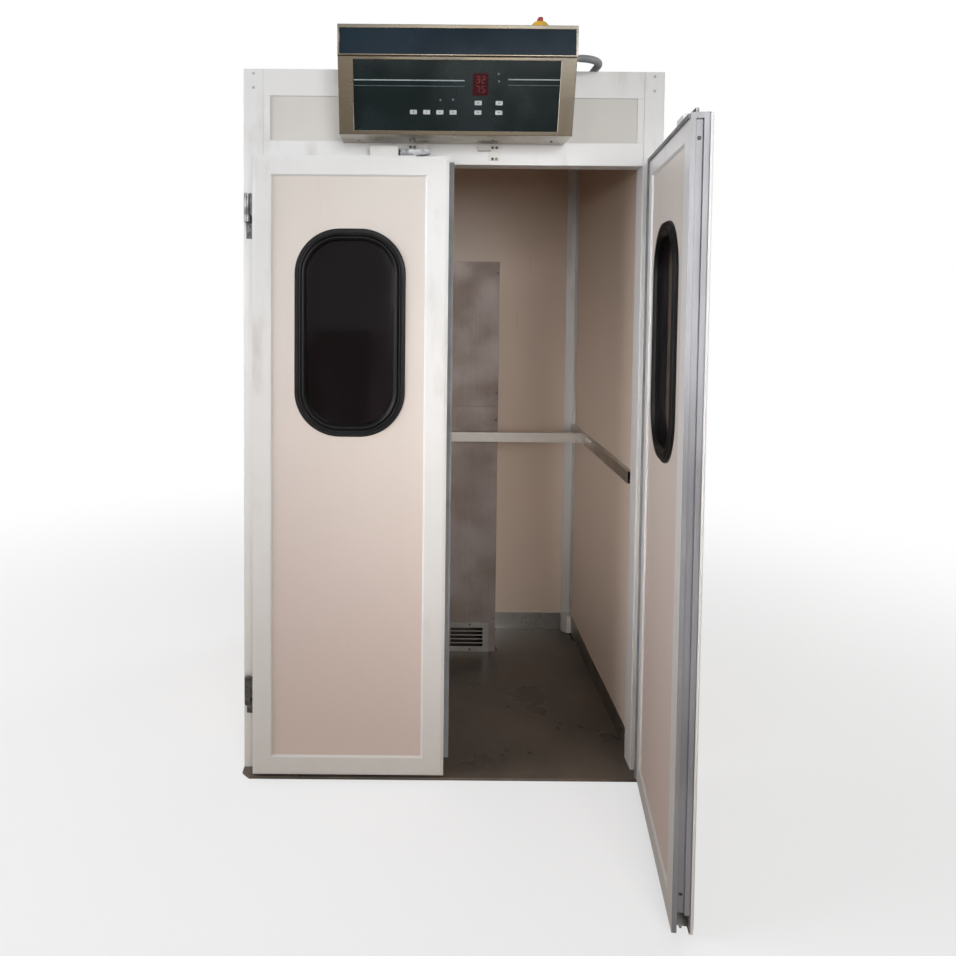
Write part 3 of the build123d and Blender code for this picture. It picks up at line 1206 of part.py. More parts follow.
def power_unit():
    """Mounting rail with transformer and contactors, and the main switch's contact block."""
    rail_y = (-SHEET - DIN_RAIL_DEPTH, -SHEET)
    half = DIN_RAIL_HEIGHT / 2
    rail = span(
        (-DIN_RAIL_WIDTH / 2, DIN_RAIL_WIDTH / 2), rail_y, (DIN_RAIL_Z - half, DIN_RAIL_Z + half)
    )
    z = (DIN_RAIL_Z - CONTACTOR_HEIGHT / 2, DIN_RAIL_Z + CONTACTOR_HEIGHT / 2)
    y = (rail_y[0] - CONTACTOR_DEPTH, rail_y[0])
    pieces = [rail]
    for number in range(CONTACTOR_COUNT):
        x = CONTACTOR_FIRST_X + number * CONTACTOR_PITCH
        pieces.append(span((x - CONTACTOR_WIDTH / 2, x + CONTACTOR_WIDTH / 2), y, z))
    reach = TRANSFORMER_WIDTH / 2
    pieces.append(span((TRANSFORMER_X - reach, TRANSFORMER_X + reach), y, z))
    x, y, top = MAIN_SWITCH_X, MAIN_SWITCH_Y, BOX_TOP - SHEET
    side = ISOLATOR_SIDE / 2
    block = span((x - side, x + side), (y - side, y + side), (top - ISOLATOR_HEIGHT, top))
    bore = cylinder(KNOB_SHAFT_R + RUNNING_FIT, (x, y, top - ISOLATOR_HEIGHT), (x, y, top))
    return pieces + [block - bore]


def switch_bezel():
    """Yellow domed base of the main switch."""
    x, y = MAIN_SWITCH_X, MAIN_SWITCH_Y
    rim_top = BOX_TOP + BEZEL_RIM
    base = cylinder(BEZEL_R, (x, y, BOX_TOP), (x, y, rim_top))
    cone = loft([
        Pos(x, y, rim_top) * Circle(BEZEL_R), Pos(x, y, BOX_TOP + BEZEL_HEIGHT) * Circle(BEZEL_TOP_R)
    ])
    bore = cylinder(KNOB_SHAFT_R + RUNNING_FIT, (x, y, BOX_TOP), (x, y, BOX_TOP + BEZEL_HEIGHT))
    return base + cone - bore


def switch_knob():
    """Red bar handle on the switch's shaft."""
    x, y = MAIN_SWITCH_X, MAIN_SWITCH_Y
    low = BOX_TOP + BEZEL_HEIGHT + KNOB_GAP
    bar = span(
        (x - KNOB_WIDTH / 2, x + KNOB_WIDTH / 2), (y - KNOB_LENGTH / 2, y + KNOB_LENGTH / 2),
        (low, low + KNOB_HEIGHT),
    )
    bar = fillet(bar.edges().filter_by(Axis.Z), KNOB_END_R)
    bar = fillet(bar.edges().group_by(Axis.Z)[-1], KNOB_ROUND)
    return bar + cylinder(KNOB_SHAFT_R, (x, y, low - KNOB_SHAFT_LENGTH), (x, y, low))


# Conduit
def conduit_fittings():
    """Gland on the box's side, and the roof junction box with its collar."""
    x = BOX_WIDTH / 2
    centre = (CONDUIT_Y, CONDUIT_Z)
    seat = Plane(origin=(x, *centre), x_dir=(0, 0, 1), z_dir=(1, 0, 0))
    gland = extrude(seat * RegularPolygon(GLAND_NUT_R, GLAND_NUT_SIDES), GLAND_NUT)
    gland += cylinder(CONDUIT_R, (x, *centre), (x + GLAND_LENGTH, *centre))
    gland -= cylinder(CONDUIT_BORE_R, (x, *centre), (x + GLAND_LENGTH, *centre))
    y = JUNCTION_FRONT_Y
    half = JUNCTION_SIDE / 2
    box = span(
        (CONDUIT_X - half, CONDUIT_X + half), (y, y + JUNCTION_SIDE),
        (ROOF_TOP, ROOF_TOP + JUNCTION_HEIGHT),
    )
    box = fillet(box.edges().filter_by(Axis.Z), JUNCTION_CORNER_R)
    collar = ((CONDUIT_X, y - COLLAR_LENGTH, CONDUIT_Z), (CONDUIT_X, y, CONDUIT_Z))
    box += cylinder(COLLAR_R, *collar)
    return [gland, box - cylinder(CONDUIT_BORE_R, *collar)]


def conduit_path():
    """Lengths of the first run, the bend and the last run."""
    end = JUNCTION_FRONT_Y - COLLAR_LENGTH
    bend = CONDUIT_BEND_R * math.pi / 2
    return CONDUIT_PLAIN, bend, end - (CONDUIT_Y + CONDUIT_BEND_R)


def conduit_point(distance):
    """Place and heading on the conduit's middle line, at a distance from the box gland."""
    first, bend, _ = conduit_path()
    start = BOX_WIDTH / 2 + GLAND_LENGTH
    if distance <= first:
        return (start + distance, CONDUIT_Y, CONDUIT_Z), (1, 0, 0)
    if distance <= first + bend:
        turn = (distance - first) / CONDUIT_BEND_R
        x = start + first + CONDUIT_BEND_R * math.sin(turn)
        y = CONDUIT_Y + CONDUIT_BEND_R * (1 - math.cos(turn))
        return (x, y, CONDUIT_Z), (math.cos(turn), math.sin(turn), 0)
    y = CONDUIT_Y + CONDUIT_BEND_R + (distance - first - bend)
    return (CONDUIT_X, y, CONDUIT_Z), (0, 1, 0)


def conduit_ring(distance, radius):
    place, heading = conduit_point(distance)
    return Plane(origin=place, x_dir=(0, 0, 1), z_dir=heading) * Circle(radius)


def conduit():
    """Ribbed hose with its bore, straight and plain at each end."""
    length = sum(conduit_path())
    ribbed = length - 2 * CONDUIT_PLAIN
    ribs = int(ribbed / CONDUIT_RIB_PITCH)
    pitch = ribbed / ribs
    rings = [conduit_ring(0, CONDUIT_VALLEY_R)]
    for number in range(ribs):
        start = CONDUIT_PLAIN + number * pitch
        for share, radius in (
            (0, CONDUIT_VALLEY_R), (CONDUIT_RIB_START, CONDUIT_R), (CONDUIT_RIB_END, CONDUIT_R),
            (CONDUIT_VALLEY_START, CONDUIT_VALLEY_R),
        ):
            rings.append(conduit_ring(start + share * pitch, radius))
    rings.append(conduit_ring(length, CONDUIT_VALLEY_R))
    hose = loft(rings, ruled=True)
    first, _, _ = conduit_path()
    start, turn_start = conduit_point(0)[0], conduit_point(first)[0]
    turn_end, end = (CONDUIT_X, CONDUIT_Y + CONDUIT_BEND_R, CONDUIT_Z), conduit_point(length)[0]
    lines = [
        Line(start, turn_start),
        TangentArc(turn_start, turn_end, tangent=(1, 0, 0)),
        Line(turn_end, end),
    ]
    bore = sweep(conduit_ring(0, CONDUIT_BORE_R), Wire(lines))
    return hose - bore


def save_door(side, meeting_x, place):
    """Write one door's nodes; place puts each right-hand piece where the door stands."""
    nodes = {
        "door_frame": door_frame(meeting_x),
        "door_skins": door_skins(meeting_x),
        "door_core": [door_core(meeting_x)],
        "window_gasket": [window_gasket(meeting_x)],
        "window_panes": window_panes(meeting_x),
        "door_seals": door_seals(meeting_x),
        "hinge_door_halves": hinge_door_halves(),
        "latch_body": [latch_body()],
        "latch_nose": [latch_nose()],
    }
    if side == "left":
        nodes["door_seals"].append(meeting_strip(meeting_x))
    for name, pieces in nodes.items():
        save(f"{side}_{name}", [place(piece) for piece in pieces])


def main():
    os.makedirs("parts", exist_ok=True)
    cabinet = (
        floor_plate, base_channels, wall_skins, roof_skins, insulation_cores, front_posts,
        header_frame, header_infill, rear_corner_posts, roof_trims, bumper_rails,
        column_casing, column_front_panels, column_grille, fan_motor, fan_impeller, air_heater,
        humidifier, climate_probe, hinge_post_halves, hinge_pins, latch_strikers, cabinet_screws,
        box_shell, box_back_plate, box_upper_panel, box_key_panel, display_window, control_board,
        power_unit, switch_bezel, switch_knob, conduit_fittings, conduit,
    )
    for make in cabinet:
        save(make.__name__, make())
    for number, (x, z) in enumerate(key_places(), start=1):
        save(f"key_{number}", key(x, z))
    save_door("left", LEFT_MEETING_X, mirrored)
    save_door("right", RIGHT_MEETING_X, swung_open)


main()
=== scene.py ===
import math

import bmesh
import bpy
from mathutils import Matrix, Vector
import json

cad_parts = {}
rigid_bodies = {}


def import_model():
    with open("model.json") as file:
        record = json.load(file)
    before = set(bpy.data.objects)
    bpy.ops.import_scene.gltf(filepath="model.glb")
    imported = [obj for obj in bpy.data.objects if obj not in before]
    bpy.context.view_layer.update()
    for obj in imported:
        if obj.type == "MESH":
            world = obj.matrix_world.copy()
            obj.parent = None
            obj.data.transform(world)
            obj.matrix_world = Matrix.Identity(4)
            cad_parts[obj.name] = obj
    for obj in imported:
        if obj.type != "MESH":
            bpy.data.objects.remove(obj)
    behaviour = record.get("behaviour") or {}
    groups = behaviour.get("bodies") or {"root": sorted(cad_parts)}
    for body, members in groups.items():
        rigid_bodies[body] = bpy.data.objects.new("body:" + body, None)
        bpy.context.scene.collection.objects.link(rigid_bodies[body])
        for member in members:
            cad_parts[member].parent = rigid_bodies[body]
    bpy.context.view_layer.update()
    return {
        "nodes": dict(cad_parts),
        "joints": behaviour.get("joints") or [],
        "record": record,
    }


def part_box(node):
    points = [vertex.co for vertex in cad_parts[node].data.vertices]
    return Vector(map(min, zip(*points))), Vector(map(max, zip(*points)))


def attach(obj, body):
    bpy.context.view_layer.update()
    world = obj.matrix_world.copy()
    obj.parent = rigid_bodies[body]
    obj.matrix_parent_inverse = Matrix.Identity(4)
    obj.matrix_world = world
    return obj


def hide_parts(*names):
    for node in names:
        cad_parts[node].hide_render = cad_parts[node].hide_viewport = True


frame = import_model()


# The camera stands where the photograph was taken from, a little left of the middle of the doorway.
# Its place and lens were fitted to the chamber's corners, and its frame is shifted off the lens's
# axis because the photograph is cut from a wider picture.
def set_out(name, data):
    """A new object in the scene, made from its data."""
    thing = bpy.data.objects.new(name, data)
    bpy.context.scene.collection.objects.link(thing)
    return thing


image_side = 956
focal_length_px = 781.5
lens_axis_px = (415.8, 330.1)
lens = bpy.data.cameras.new("camera")
lens.sensor_width = 36
lens.lens = focal_length_px * lens.sensor_width / image_side
lens.shift_x = 0.5 - lens_axis_px[0] / image_side
lens.shift_y = lens_axis_px[1] / image_side - 0.5
camera = set_out("camera", lens)
bpy.context.scene.camera = camera
eye = (-0.1108, -2.4221, 1.515)
pitch_down = 0.0457
roll = 0.0086
across = Vector((1, 0, 0))
ahead = Vector((0, math.cos(pitch_down), -math.sin(pitch_down)))
upward = across.cross(ahead)
facing = Matrix((across, upward, -ahead)).transposed().to_4x4()
camera.matrix_world = Matrix.Translation(eye) @ facing @ Matrix.Rotation(roll, 4, "Z")
bpy.context.scene.view_settings.view_transform = "Standard"


# The studio is a soft lamp on the left, one far in front that reaches into the chamber, a narrow one
# through the doorway at the right wall, one behind, and a plain sky. The sky and floor are
# white to the eye, and dimmer as light, where the floor is also brown, as a workshop's is.
def softbox(name, place, aim, size, watts, colour, spread):
    """A square lamp that looks from its place towards a point, with its beam's spread in degrees."""
    lamp = bpy.data.lights.new(name, "AREA")
    lamp.shape = "SQUARE"
    lamp.size = size
    lamp.energy = watts
    lamp.color = colour
    lamp.spread = math.radians(spread)
    holder = set_out(name, lamp)
    holder.location = place
    holder.rotation_euler = (Vector(aim) - Vector(place)).to_track_quat("-Z", "Y").to_euler()


softbox("left lamp", (-4.6, -1.3, 2.3), (0.4, -0.2, 1.1), 2.6, 130, (0.94, 0.95, 1.0), 180)
softbox("front lamp", (1.0, -6.0, 2.4), (0.3, 0.8, 0.9), 2.4, 155, (1.0, 0.998, 0.99), 180)
softbox("doorway lamp", (-2.4, -4.7, 1.7), (0.5, 0.4, 0.95), 1.0, 2.4, (1.0, 0.985, 0.97), 20)
softbox("rear lamp", (4.4, 4.6, 2.8), (0.4, 0.8, 1.0), 2.6, 110, (1.0, 0.995, 0.985), 180)


def new_node(tree, kind, inputs=None, **settings):
    """A new node with its settings, its inputs set to values or joined to other nodes' outputs."""
    made = tree.nodes.new(kind)
    for label, value in settings.items():
        setattr(made, label, value)
    for label, value in (inputs or {}).items():
        if isinstance(value, bpy.types.NodeSocket):
            tree.links.new(value, made.inputs[label])
        else:
            made.inputs[label].default_value = value
    return made


def seen_directly(tree):
    """One where the eye looks straight at the surface, or through a clear sheet."""
    path = new_node(tree, "ShaderNodeLightPath")
    return new_node(tree, "ShaderNodeMath", {
        0: path.outputs["Is Camera Ray"], 1: path.outputs["Is Transmission Ray"],
    }, operation="MAXIMUM").outputs[0]


white = (1, 1, 1, 1)
sky_light = 0.36
sky = bpy.data.worlds.new("studio")
bpy.context.scene.world = sky
sky.use_nodes = True
sky_tree = sky.node_tree
as_light = sky_tree.nodes["Background"]
as_light.inputs["Color"].default_value = white
as_light.inputs["Strength"].default_value = sky_light
as_seen = new_node(sky_tree, "ShaderNodeBackground", {"Color": white})
which = new_node(sky_tree, "ShaderNodeMixShader", {
    0: seen_directly(sky_tree), 1: as_light.outputs[0], 2: as_seen.outputs[0],
})
sky_tree.links.new(which.outputs[0], sky_tree.nodes["World Output"].inputs["Surface"])

floor_side = 60
fade_from, fade_to = 1.3, 4.2
floor_glow = 0.55
floor_as_light, floor_as_seen = (0.25, 0.20, 0.155, 1), (0.88, 0.88, 0.88, 1)
half = floor_side / 2
floor_mesh = bpy.data.meshes.new("studio floor")
floor_corners = [(-half, -half, 0), (half, -half, 0), (half, half, 0), (-half, half, 0)]
floor_mesh.from_pydata(floor_corners, [], [(0, 1, 2, 3)])
pale = bpy.data.materials.new("studio floor")
pale.use_nodes = True
pale_tree = pale.node_tree
painted = pale_tree.nodes["Principled BSDF"]
painted.inputs["Roughness"].default_value = 0.9
floor_tone = new_node(pale_tree, "ShaderNodeMix", {
    0: seen_directly(pale_tree), 6: floor_as_light, 7: floor_as_seen,
}, data_type="RGBA")
pale_tree.links.new(floor_tone.outputs[2], painted.inputs["Base Color"])
glow = new_node(pale_tree, "ShaderNodeEmission")
place_on_floor = new_node(pale_tree, "ShaderNodeTexCoord").outputs["Object"]
distance = new_node(pale_tree, "ShaderNodeVectorMath", {0: place_on_floor}, operation="LENGTH")
fade = new_node(pale_tree, "ShaderNodeMapRange", {
    "Value": distance.outputs["Value"], "From Min": fade_from, "From Max": fade_to, "To Min": floor_glow,
}, interpolation_type="SMOOTHSTEP")
far_and_seen = new_node(pale_tree, "ShaderNodeMath", {
    0: fade.outputs["Result"], 1: seen_directly(pale_tree),
}, operation="MULTIPLY")
floor_look = new_node(pale_tree, "ShaderNodeMixShader", {
    0: far_and_seen.outputs[0], 1: painted.outputs[0], 2: glow.outputs[0],
})
pale_tree.links.new(floor_look.outputs[0], pale_tree.nodes["Material Output"].inputs["Surface"])
floor_mesh.materials.append(pale)
studio_floor = set_out("studio_floor", floor_mesh)


# The floor plate is a thin slab of dark resin with stone chips in it, under the whole chamber.
# It was cast flat and rubbed down, so it is smooth and cloudy, with pale specks and dull traffic marks.
def srgb(red, green, blue):
    """A colour as it is read off a picture, from 0 to 255, in the renderer's own scale."""
    def straight(part):
        part /= 255
        return part / 12.92 if part <= 0.04045 else ((part + 0.055) / 1.055) ** 2.4
    return (straight(red), straight(green), straight(blue), 1)


steps_per_metre = 1000000
step_offset = 0.37
angle_slack = 0.001


def spot(point):
    """A point's step on a fine grid, set off so that round sizes don't fall between two steps."""
    return tuple(math.floor(part * steps_per_metre + step_offset) for part in point)


def solids_of(shape):
    """The number of the solid that each face belongs to, also where two solids touch along an edge.

    Round such an edge the faces are paired over the material between them."""
    leader = list(range(len(shape.faces)))

    def first_of(number):
        while leader[number] != number:
            number = leader[number]
        return number

    borders = {}
    for face in shape.faces:
        for loop in face.loops:
            start, end = loop.vert.co, loop.link_loop_next.vert.co
            forward = spot(start) < spot(end)
            key = (spot(start), spot(end)) if forward else (spot(end), spot(start))
            borders.setdefault(key, []).append((face, forward, (end - start).normalized()))
    for meeting in borders.values():
        along = meeting[0][2] if meeting[0][1] else -meeting[0][2]
        side = along.orthogonal().normalized()
        other_side = along.cross(side)
        turned = []
        for face, forward, direction in meeting:
            inward = face.normal.cross(direction)
            turned.append((face.index, forward, math.atan2(inward.dot(other_side), inward.dot(side))))
        for face, forward, angle in turned:
            if forward:
                continue
            ways = [
                ((far - angle - angle_slack) % (2 * math.pi), other) for other, ahead, far in turned if ahead
            ]
            if ways:
                leader[first_of(face)] = first_of(min(ways)[1])
    return [first_of(number) for number in range(len(leader))]


def joined(node):
    """A node's shape joined along its edges, with each solid whole by itself."""
    loose = bmesh.new()
    loose.from_mesh(frame["nodes"][node].data)
    loose.faces.ensure_lookup_table()
    solids = solids_of(loose)
    shape = bmesh.new()
    corners = {}
    for face in loose.faces:
        keys = [(solids[face.index], spot(vert.co)) for vert in face.verts]
        for key, vert in zip(keys, face.verts):
            if key not in corners:
                corners[key] = shape.verts.new(vert.co)
        if len(set(keys)) == len(keys):
            shape.faces.new([corners[key] for key in keys])
    loose.free()
    return shape


def made_mesh(name, shape, crease=None):
    """The mesh of a finished shape, shaded smooth except at edges sharper than the crease."""
    mesh = bpy.data.meshes.new(name)
    shape.to_mesh(mesh)
    shape.free()
    if crease:
        mesh.shade_smooth()
        mesh.set_sharp_from_angle(angle=crease)
    return mesh


flat_angle = math.radians(0.4)
corner_angle = math.radians(38)


def eased(node, corner, finish):
    """A node's own shape with its sharp corners rounded a little, as made pieces have them."""
    shape = joined(node)
    bmesh.ops.dissolve_limit(
        shape, angle_limit=flat_angle, verts=shape.verts, edges=shape.edges, delimit={"NORMAL"}
    )
    mesh = made_mesh(node + "_made", shape, corner_angle)
    mesh.materials.append(finish)
    piece = set_out(mesh.name, mesh)
    rounding = piece.modifiers.new("corners", "BEVEL")
    rounding.width = corner
    rounding.segments = 2
    rounding.limit_method = "ANGLE"
    rounding.angle_limit = corner_angle
    rounding.loop_slide = False
    flat_faces = piece.modifiers.new("flat faces", "WEIGHTED_NORMAL")
    flat_faces.keep_sharp = True
    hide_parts(node)
    body = next(b for b, members in frame["record"]["behaviour"]["bodies"].items() if node in members)
    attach(piece, body)
    return piece


def dress(node, finish):
    """Gives a CAD node that stays in view its material."""
    mesh = frame["nodes"][node].data
    mesh.materials.clear()
    mesh.materials.append(finish)


def new_finish(name, colour, roughness, metallic=0.0):
    """A material with its main shader set to plain values, and its node tree."""
    finish = bpy.data.materials.new(name)
    finish.use_nodes = True
    shader = finish.node_tree.nodes["Principled BSDF"]
    shader.inputs["Base Color"].default_value = colour
    shader.inputs["Roughness"].default_value = roughness
    shader.inputs["Metallic"].default_value = metallic
    return finish, finish.node_tree, shader


def new_group(name, inputs, *outputs):
    """An empty shader group with number or vector inputs, whose outputs are numbers, or normals."""
    group = bpy.data.node_groups.new(name, "ShaderNodeTree")
    for label, value in inputs.items():
        kind = "NodeSocketVector" if isinstance(value, tuple) else "NodeSocketFloat"
        socket = group.interface.new_socket(label, in_out="INPUT", socket_type=kind)
        socket.default_value = value
    for label in outputs:
        kind = "NodeSocketVector" if label == "Normal" else "NodeSocketFloat"
        group.interface.new_socket(label, in_out="OUTPUT", socket_type=kind)
    return group, group.nodes.new("NodeGroupInput"), group.nodes.new("NodeGroupOutput")


def stretched_noise(group, given, scale, detail):
    """Noise at each spot of the piece, pulled out along the group's stretch."""
    place = new_node(group, "ShaderNodeTexCoord").outputs["Object"]
    stretch = new_node(group, "ShaderNodeVectorMath", {
        0: place, 1: given.outputs["Stretch"],
    }, operation="MULTIPLY")
    return new_node(group, "ShaderNodeTexNoise", {
        "Vector": stretch.outputs["Vector"], "Scale": scale, "Detail": detail,
    })


def marked(group, given, value, result):
    """Spreads a value between the group's low and high marks, softly, into its mask."""
    spread = new_node(group, "ShaderNodeMapRange", {
        "Value": value, "From Min": given.outputs["Low"], "From Max": given.outputs["High"],
    }, interpolation_type="SMOOTHSTEP")
    group.links.new(spread.outputs["Result"], result.inputs["Mask"])


def raised(group, given, height, result):
    """Raises the surface by a height, as deep and strong as the group is asked for."""
    bump = new_node(group, "ShaderNodeBump", {
        "Height": height, "Distance": given.outputs["Depth"], "Strength": given.outputs["Strength"],
    })
    group.links.new(bump.outputs["Normal"], result.inputs["Normal"])


def build_clouds():
    """Soft patches that run from 0 to 1 over a surface, stretched as asked."""
    group, given, result = new_group(
        "clouds", {"Patches per metre": 8.0, "Stretch": (1.0, 1.0, 1.0), "Low": 0.35, "High": 0.65}, "Mask"
    )
    patches = stretched_noise(group, given, given.outputs["Patches per metre"], 5)
    marked(group, given, patches.outputs["Fac"], result)
    return group


def build_texture_bump():
    """A fine even roughness of the surface itself, such as powder coat or moulding grain."""
    group, given, result = new_group(
        "surface texture",
        {"Grains per metre": 900.0, "Stretch": (1.0, 1.0, 1.0), "Depth": 0.0001, "Strength": 0.2}, "Normal",
    )
    grains = stretched_noise(group, given, given.outputs["Grains per metre"], 2)
    raised(group, given, grains.outputs["Fac"], result)
    return group


def build_rise():
    """How high a spot is: 0 at the low mark, 1 at the high mark, and soft between them."""
    group, given, result = new_group("height", {"Low": 0.0, "High": 1.0}, "Mask")
    place = new_node(group, "ShaderNodeTexCoord").outputs["Object"]
    parts = new_node(group, "ShaderNodeSeparateXYZ", {0: place})
    marked(group, given, parts.outputs["Z"], result)
    return group


clouds = build_clouds()
surface_texture = build_texture_bump()
rise_above_floor = build_rise()


def use(tree, group, **values):
    """Places a group in a material with its own values."""
    inputs = {label.replace("_", " "): value for label, value in values.items()}
    return new_node(tree, "ShaderNodeGroup", inputs, node_tree=group)


def blend(tree, mask, first, second):
    """A colour that goes from the first to the second with the mask."""
    return new_node(tree, "ShaderNodeMix", {0: mask, 6: first, 7: second}, data_type="RGBA").outputs[2]


def vary(tree, mask, low, high):
    """A number that goes from low to high with the mask."""
    return new_node(tree, "ShaderNodeMapRange", {
        "Value": mask, "To Min": low, "To Max": high,
    }).outputs["Result"]


def coloured(tree, shader, patches, first, second):
    """Colours a finish between two tones, as the patches run."""
    tree.links.new(blend(tree, patches.outputs["Mask"], first, second), shader.inputs["Base Color"])


def roughened(tree, shader, patches, low, high):
    """Varies a finish's roughness between two numbers, as the patches run."""
    tree.links.new(vary(tree, patches.outputs["Mask"], low, high), shader.inputs["Roughness"])


def textured(tree, shader, grains, depth, strength):
    """Gives a finish its fine relief, with so many grains per metre."""
    relief = use(tree, surface_texture, Grains_per_metre=grains, Depth=depth, Strength=strength)
    tree.links.new(relief.outputs["Normal"], shader.inputs["Normal"])


def resin_floor():
    finish, tree, shader = new_finish("resin floor", srgb(62, 59, 56), 0.35)
    traffic = use(tree, clouds, Patches_per_metre=3.5, Low=0.3, High=0.7)
    body = blend(tree, traffic.outputs["Mask"], srgb(72, 66, 59), srgb(104, 93, 82))
    place = new_node(tree, "ShaderNodeTexCoord").outputs["Object"]
    chips = new_node(tree, "ShaderNodeTexVoronoi", {"Vector": place, "Scale": 85})
    chip_edge = new_node(tree, "ShaderNodeMapRange", {
        "Value": chips.outputs["Distance"], "From Min": 0.11, "From Max": 0.05,
    })
    speckled = blend(tree, chip_edge.outputs["Result"], body, srgb(150, 138, 124))
    tree.links.new(speckled, shader.inputs["Base Color"])
    roughened(tree, shader, traffic, 0.24, 0.46)
    textured(tree, shader, 120.0, 0.0006, 0.25)
    return finish


eased("floor_plate", 0.0012, resin_floor())


# The base channels are bent from 2 mm stainless sheet, fixed to the floor plate along both sides
# and the back. The wall panels stand in them.
def build_brushing():
    """The fine parallel scratches of a brushed sheet, as a streak from 0 to 1 and as relief."""
    group, given, result = new_group(
        "brushing", {"Stretch": (4.0, 900.0, 900.0), "Depth": 0.00003, "Strength": 0.3}, "Streak", "Normal"
    )
    scratches = stretched_noise(group, given, 1, 6)
    scratches.inputs["Roughness"].default_value = 0.7
    raised(group, given, scratches.outputs["Fac"], result)
    group.links.new(scratches.outputs["Fac"], result.inputs["Streak"])
    return group


brushing = build_brushing()


def stainless(name, grain, colour, dull, shine, smooth, rough):
    """Brushed stainless sheet whose grain runs along the axis with the small stretch."""
    finish, tree, shader = new_finish(name, colour, rough, 1.0)
    handling = use(tree, clouds, Patches_per_metre=5.0, Low=0.32, High=0.68)
    lines = use(tree, brushing, Stretch=grain)
    toned = blend(tree, handling.outputs["Mask"], dull, shine)
    streaked = new_node(tree, "ShaderNodeMix", {
        0: 0.35, 6: toned, 7: lines.outputs["Streak"],
    }, data_type="RGBA", blend_type="SOFT_LIGHT")
    tree.links.new(streaked.outputs[2], shader.inputs["Base Color"])
    roughened(tree, shader, handling, rough, smooth)
    tree.links.new(lines.outputs["Normal"], shader.inputs["Normal"])
    return finish


grain_across = (3.0, 700.0, 700.0)
grain_upright = (700.0, 700.0, 3.0)
channel_steel = stainless(
    "channel stainless", grain_across,
    srgb(176, 172, 166), srgb(160, 156, 150), srgb(186, 183, 178), 0.26, 0.36,
)
eased("base_channels", 0.0006, channel_steel)


# The posts, header rails, corner posts and roof trims are aluminium profiles with a white powder
# coat. They are screwed and plugged together at the corners, and the panels slot into them.
def powder_coat():
    finish, tree, shader = new_finish("white powder coat", srgb(226, 227, 227), 0.36)
    patches = use(tree, clouds, Patches_per_metre=2.5, Low=0.3, High=0.75)
    hands = use(tree, clouds, Patches_per_metre=11.0, Stretch=(1.0, 1.0, 0.35), Low=0.56, High=0.8)
    coat = blend(tree, patches.outputs["Mask"], srgb(238, 239, 240), srgb(230, 231, 231))
    handled = blend(tree, hands.outputs["Mask"], coat, srgb(208, 206, 202))
    # Low down the coat turns darker and warmer by height: painted shade, where less light reaches near the
    # floor.
    shade_towards_floor = use(tree, rise_above_floor, Low=-0.8, High=2.3)
    coloured(tree, shader, shade_towards_floor, srgb(194, 187, 179), handled)
    roughened(tree, shader, hands, 0.33, 0.5)
    textured(tree, shader, 1100.0, 0.00006, 0.22)
    return finish


white_coat = powder_coat()
profile_corner = 0.0015
for profile in ("front_posts", "header_frame", "rear_corner_posts"):
    eased(profile, profile_corner, white_coat)
eased("roof_trims", 0.0006, white_coat)


# The walls and the roof are foam between two cream laminated sheets, and so is the header's infill.
# The sheets are rolled flat with a fine grain, and have yellowed a little unevenly.
def cream_sheet(name, light, deep, low):
    finish, tree, shader = new_finish(name, light, 0.42)
    ageing = use(tree, clouds, Patches_per_metre=1.3, Stretch=(1.0, 1.0, 0.5), Low=0.3, High=0.72)
    scuffs = use(tree, clouds, Patches_per_metre=7.0, Stretch=(6.0, 6.0, 0.35), Low=0.69, High=0.76)
    # Towards the floor each sheet turns to its low tone by height, as painted shade: darker and warmer on
    # the doors, hardly different elsewhere.
    up = use(tree, rise_above_floor, Low=0.0, High=2.1)
    aged_and_shaded = blend(tree, up.outputs["Mask"], low, blend(tree, ageing.outputs["Mask"], light, deep))
    scuff_tone = tuple(0.82 * part for part in deep[:3]) + (1,)
    scuffed = blend(tree, vary(tree, scuffs.outputs["Mask"], 0.0, 0.45), aged_and_shaded, scuff_tone)
    tree.links.new(scuffed, shader.inputs["Base Color"])
    roughened(tree, shader, ageing, 0.38, 0.5)
    textured(tree, shader, 650.0, 0.00008, 0.25)
    return finish


wall_cream = cream_sheet(
    "cream wall sheet", srgb(226, 208, 192), srgb(219, 199, 182), srgb(226, 206, 189)
)
for sheet in ("wall_skins", "roof_skins"):
    dress(sheet, wall_cream)
infill_cream = cream_sheet(
    "cream infill sheet", srgb(220, 219, 216), srgb(213, 211, 206), srgb(220, 219, 216)
)
eased("header_infill", 0.0006, infill_cream)


def mottled(name, colour, tones, patches, roughness, between=None, grain=None, metallic=0.0, **values):
    """A finish in patches of two tones, given as (patches per metre, low mark, high mark)."""
    finish, tree, shader = new_finish(name, colour, roughness, metallic)
    uneven = use(tree, clouds, Patches_per_metre=patches[0], Low=patches[1], High=patches[2])
    coloured(tree, shader, uneven, *tones)
    if between:
        roughened(tree, shader, uneven, *between)
    if grain:
        textured(tree, shader, *grain)
    for label, value in values.items():
        shader.inputs[label.replace("_", " ")].default_value = value
    return finish


core_foam = mottled(
    "rigid foam", srgb(226, 208, 160), (srgb(230, 213, 166), srgb(212, 192, 142)), (60.0, 0.3, 0.7), 0.9,
    grain=(900.0, 0.0006, 0.7),
)
dress("insulation_cores", core_foam)


# The bumper rails are folded stainless box sections on the side walls and across the front of the
# column, held at their ends by small angles. They keep the trolleys off the walls.
rail_steel = stainless(
    "rail stainless", grain_across,
    srgb(198, 194, 188), srgb(186, 182, 176), srgb(206, 203, 198), 0.26, 0.36,
)
eased("bumper_rails", 0.0005, rail_steel)


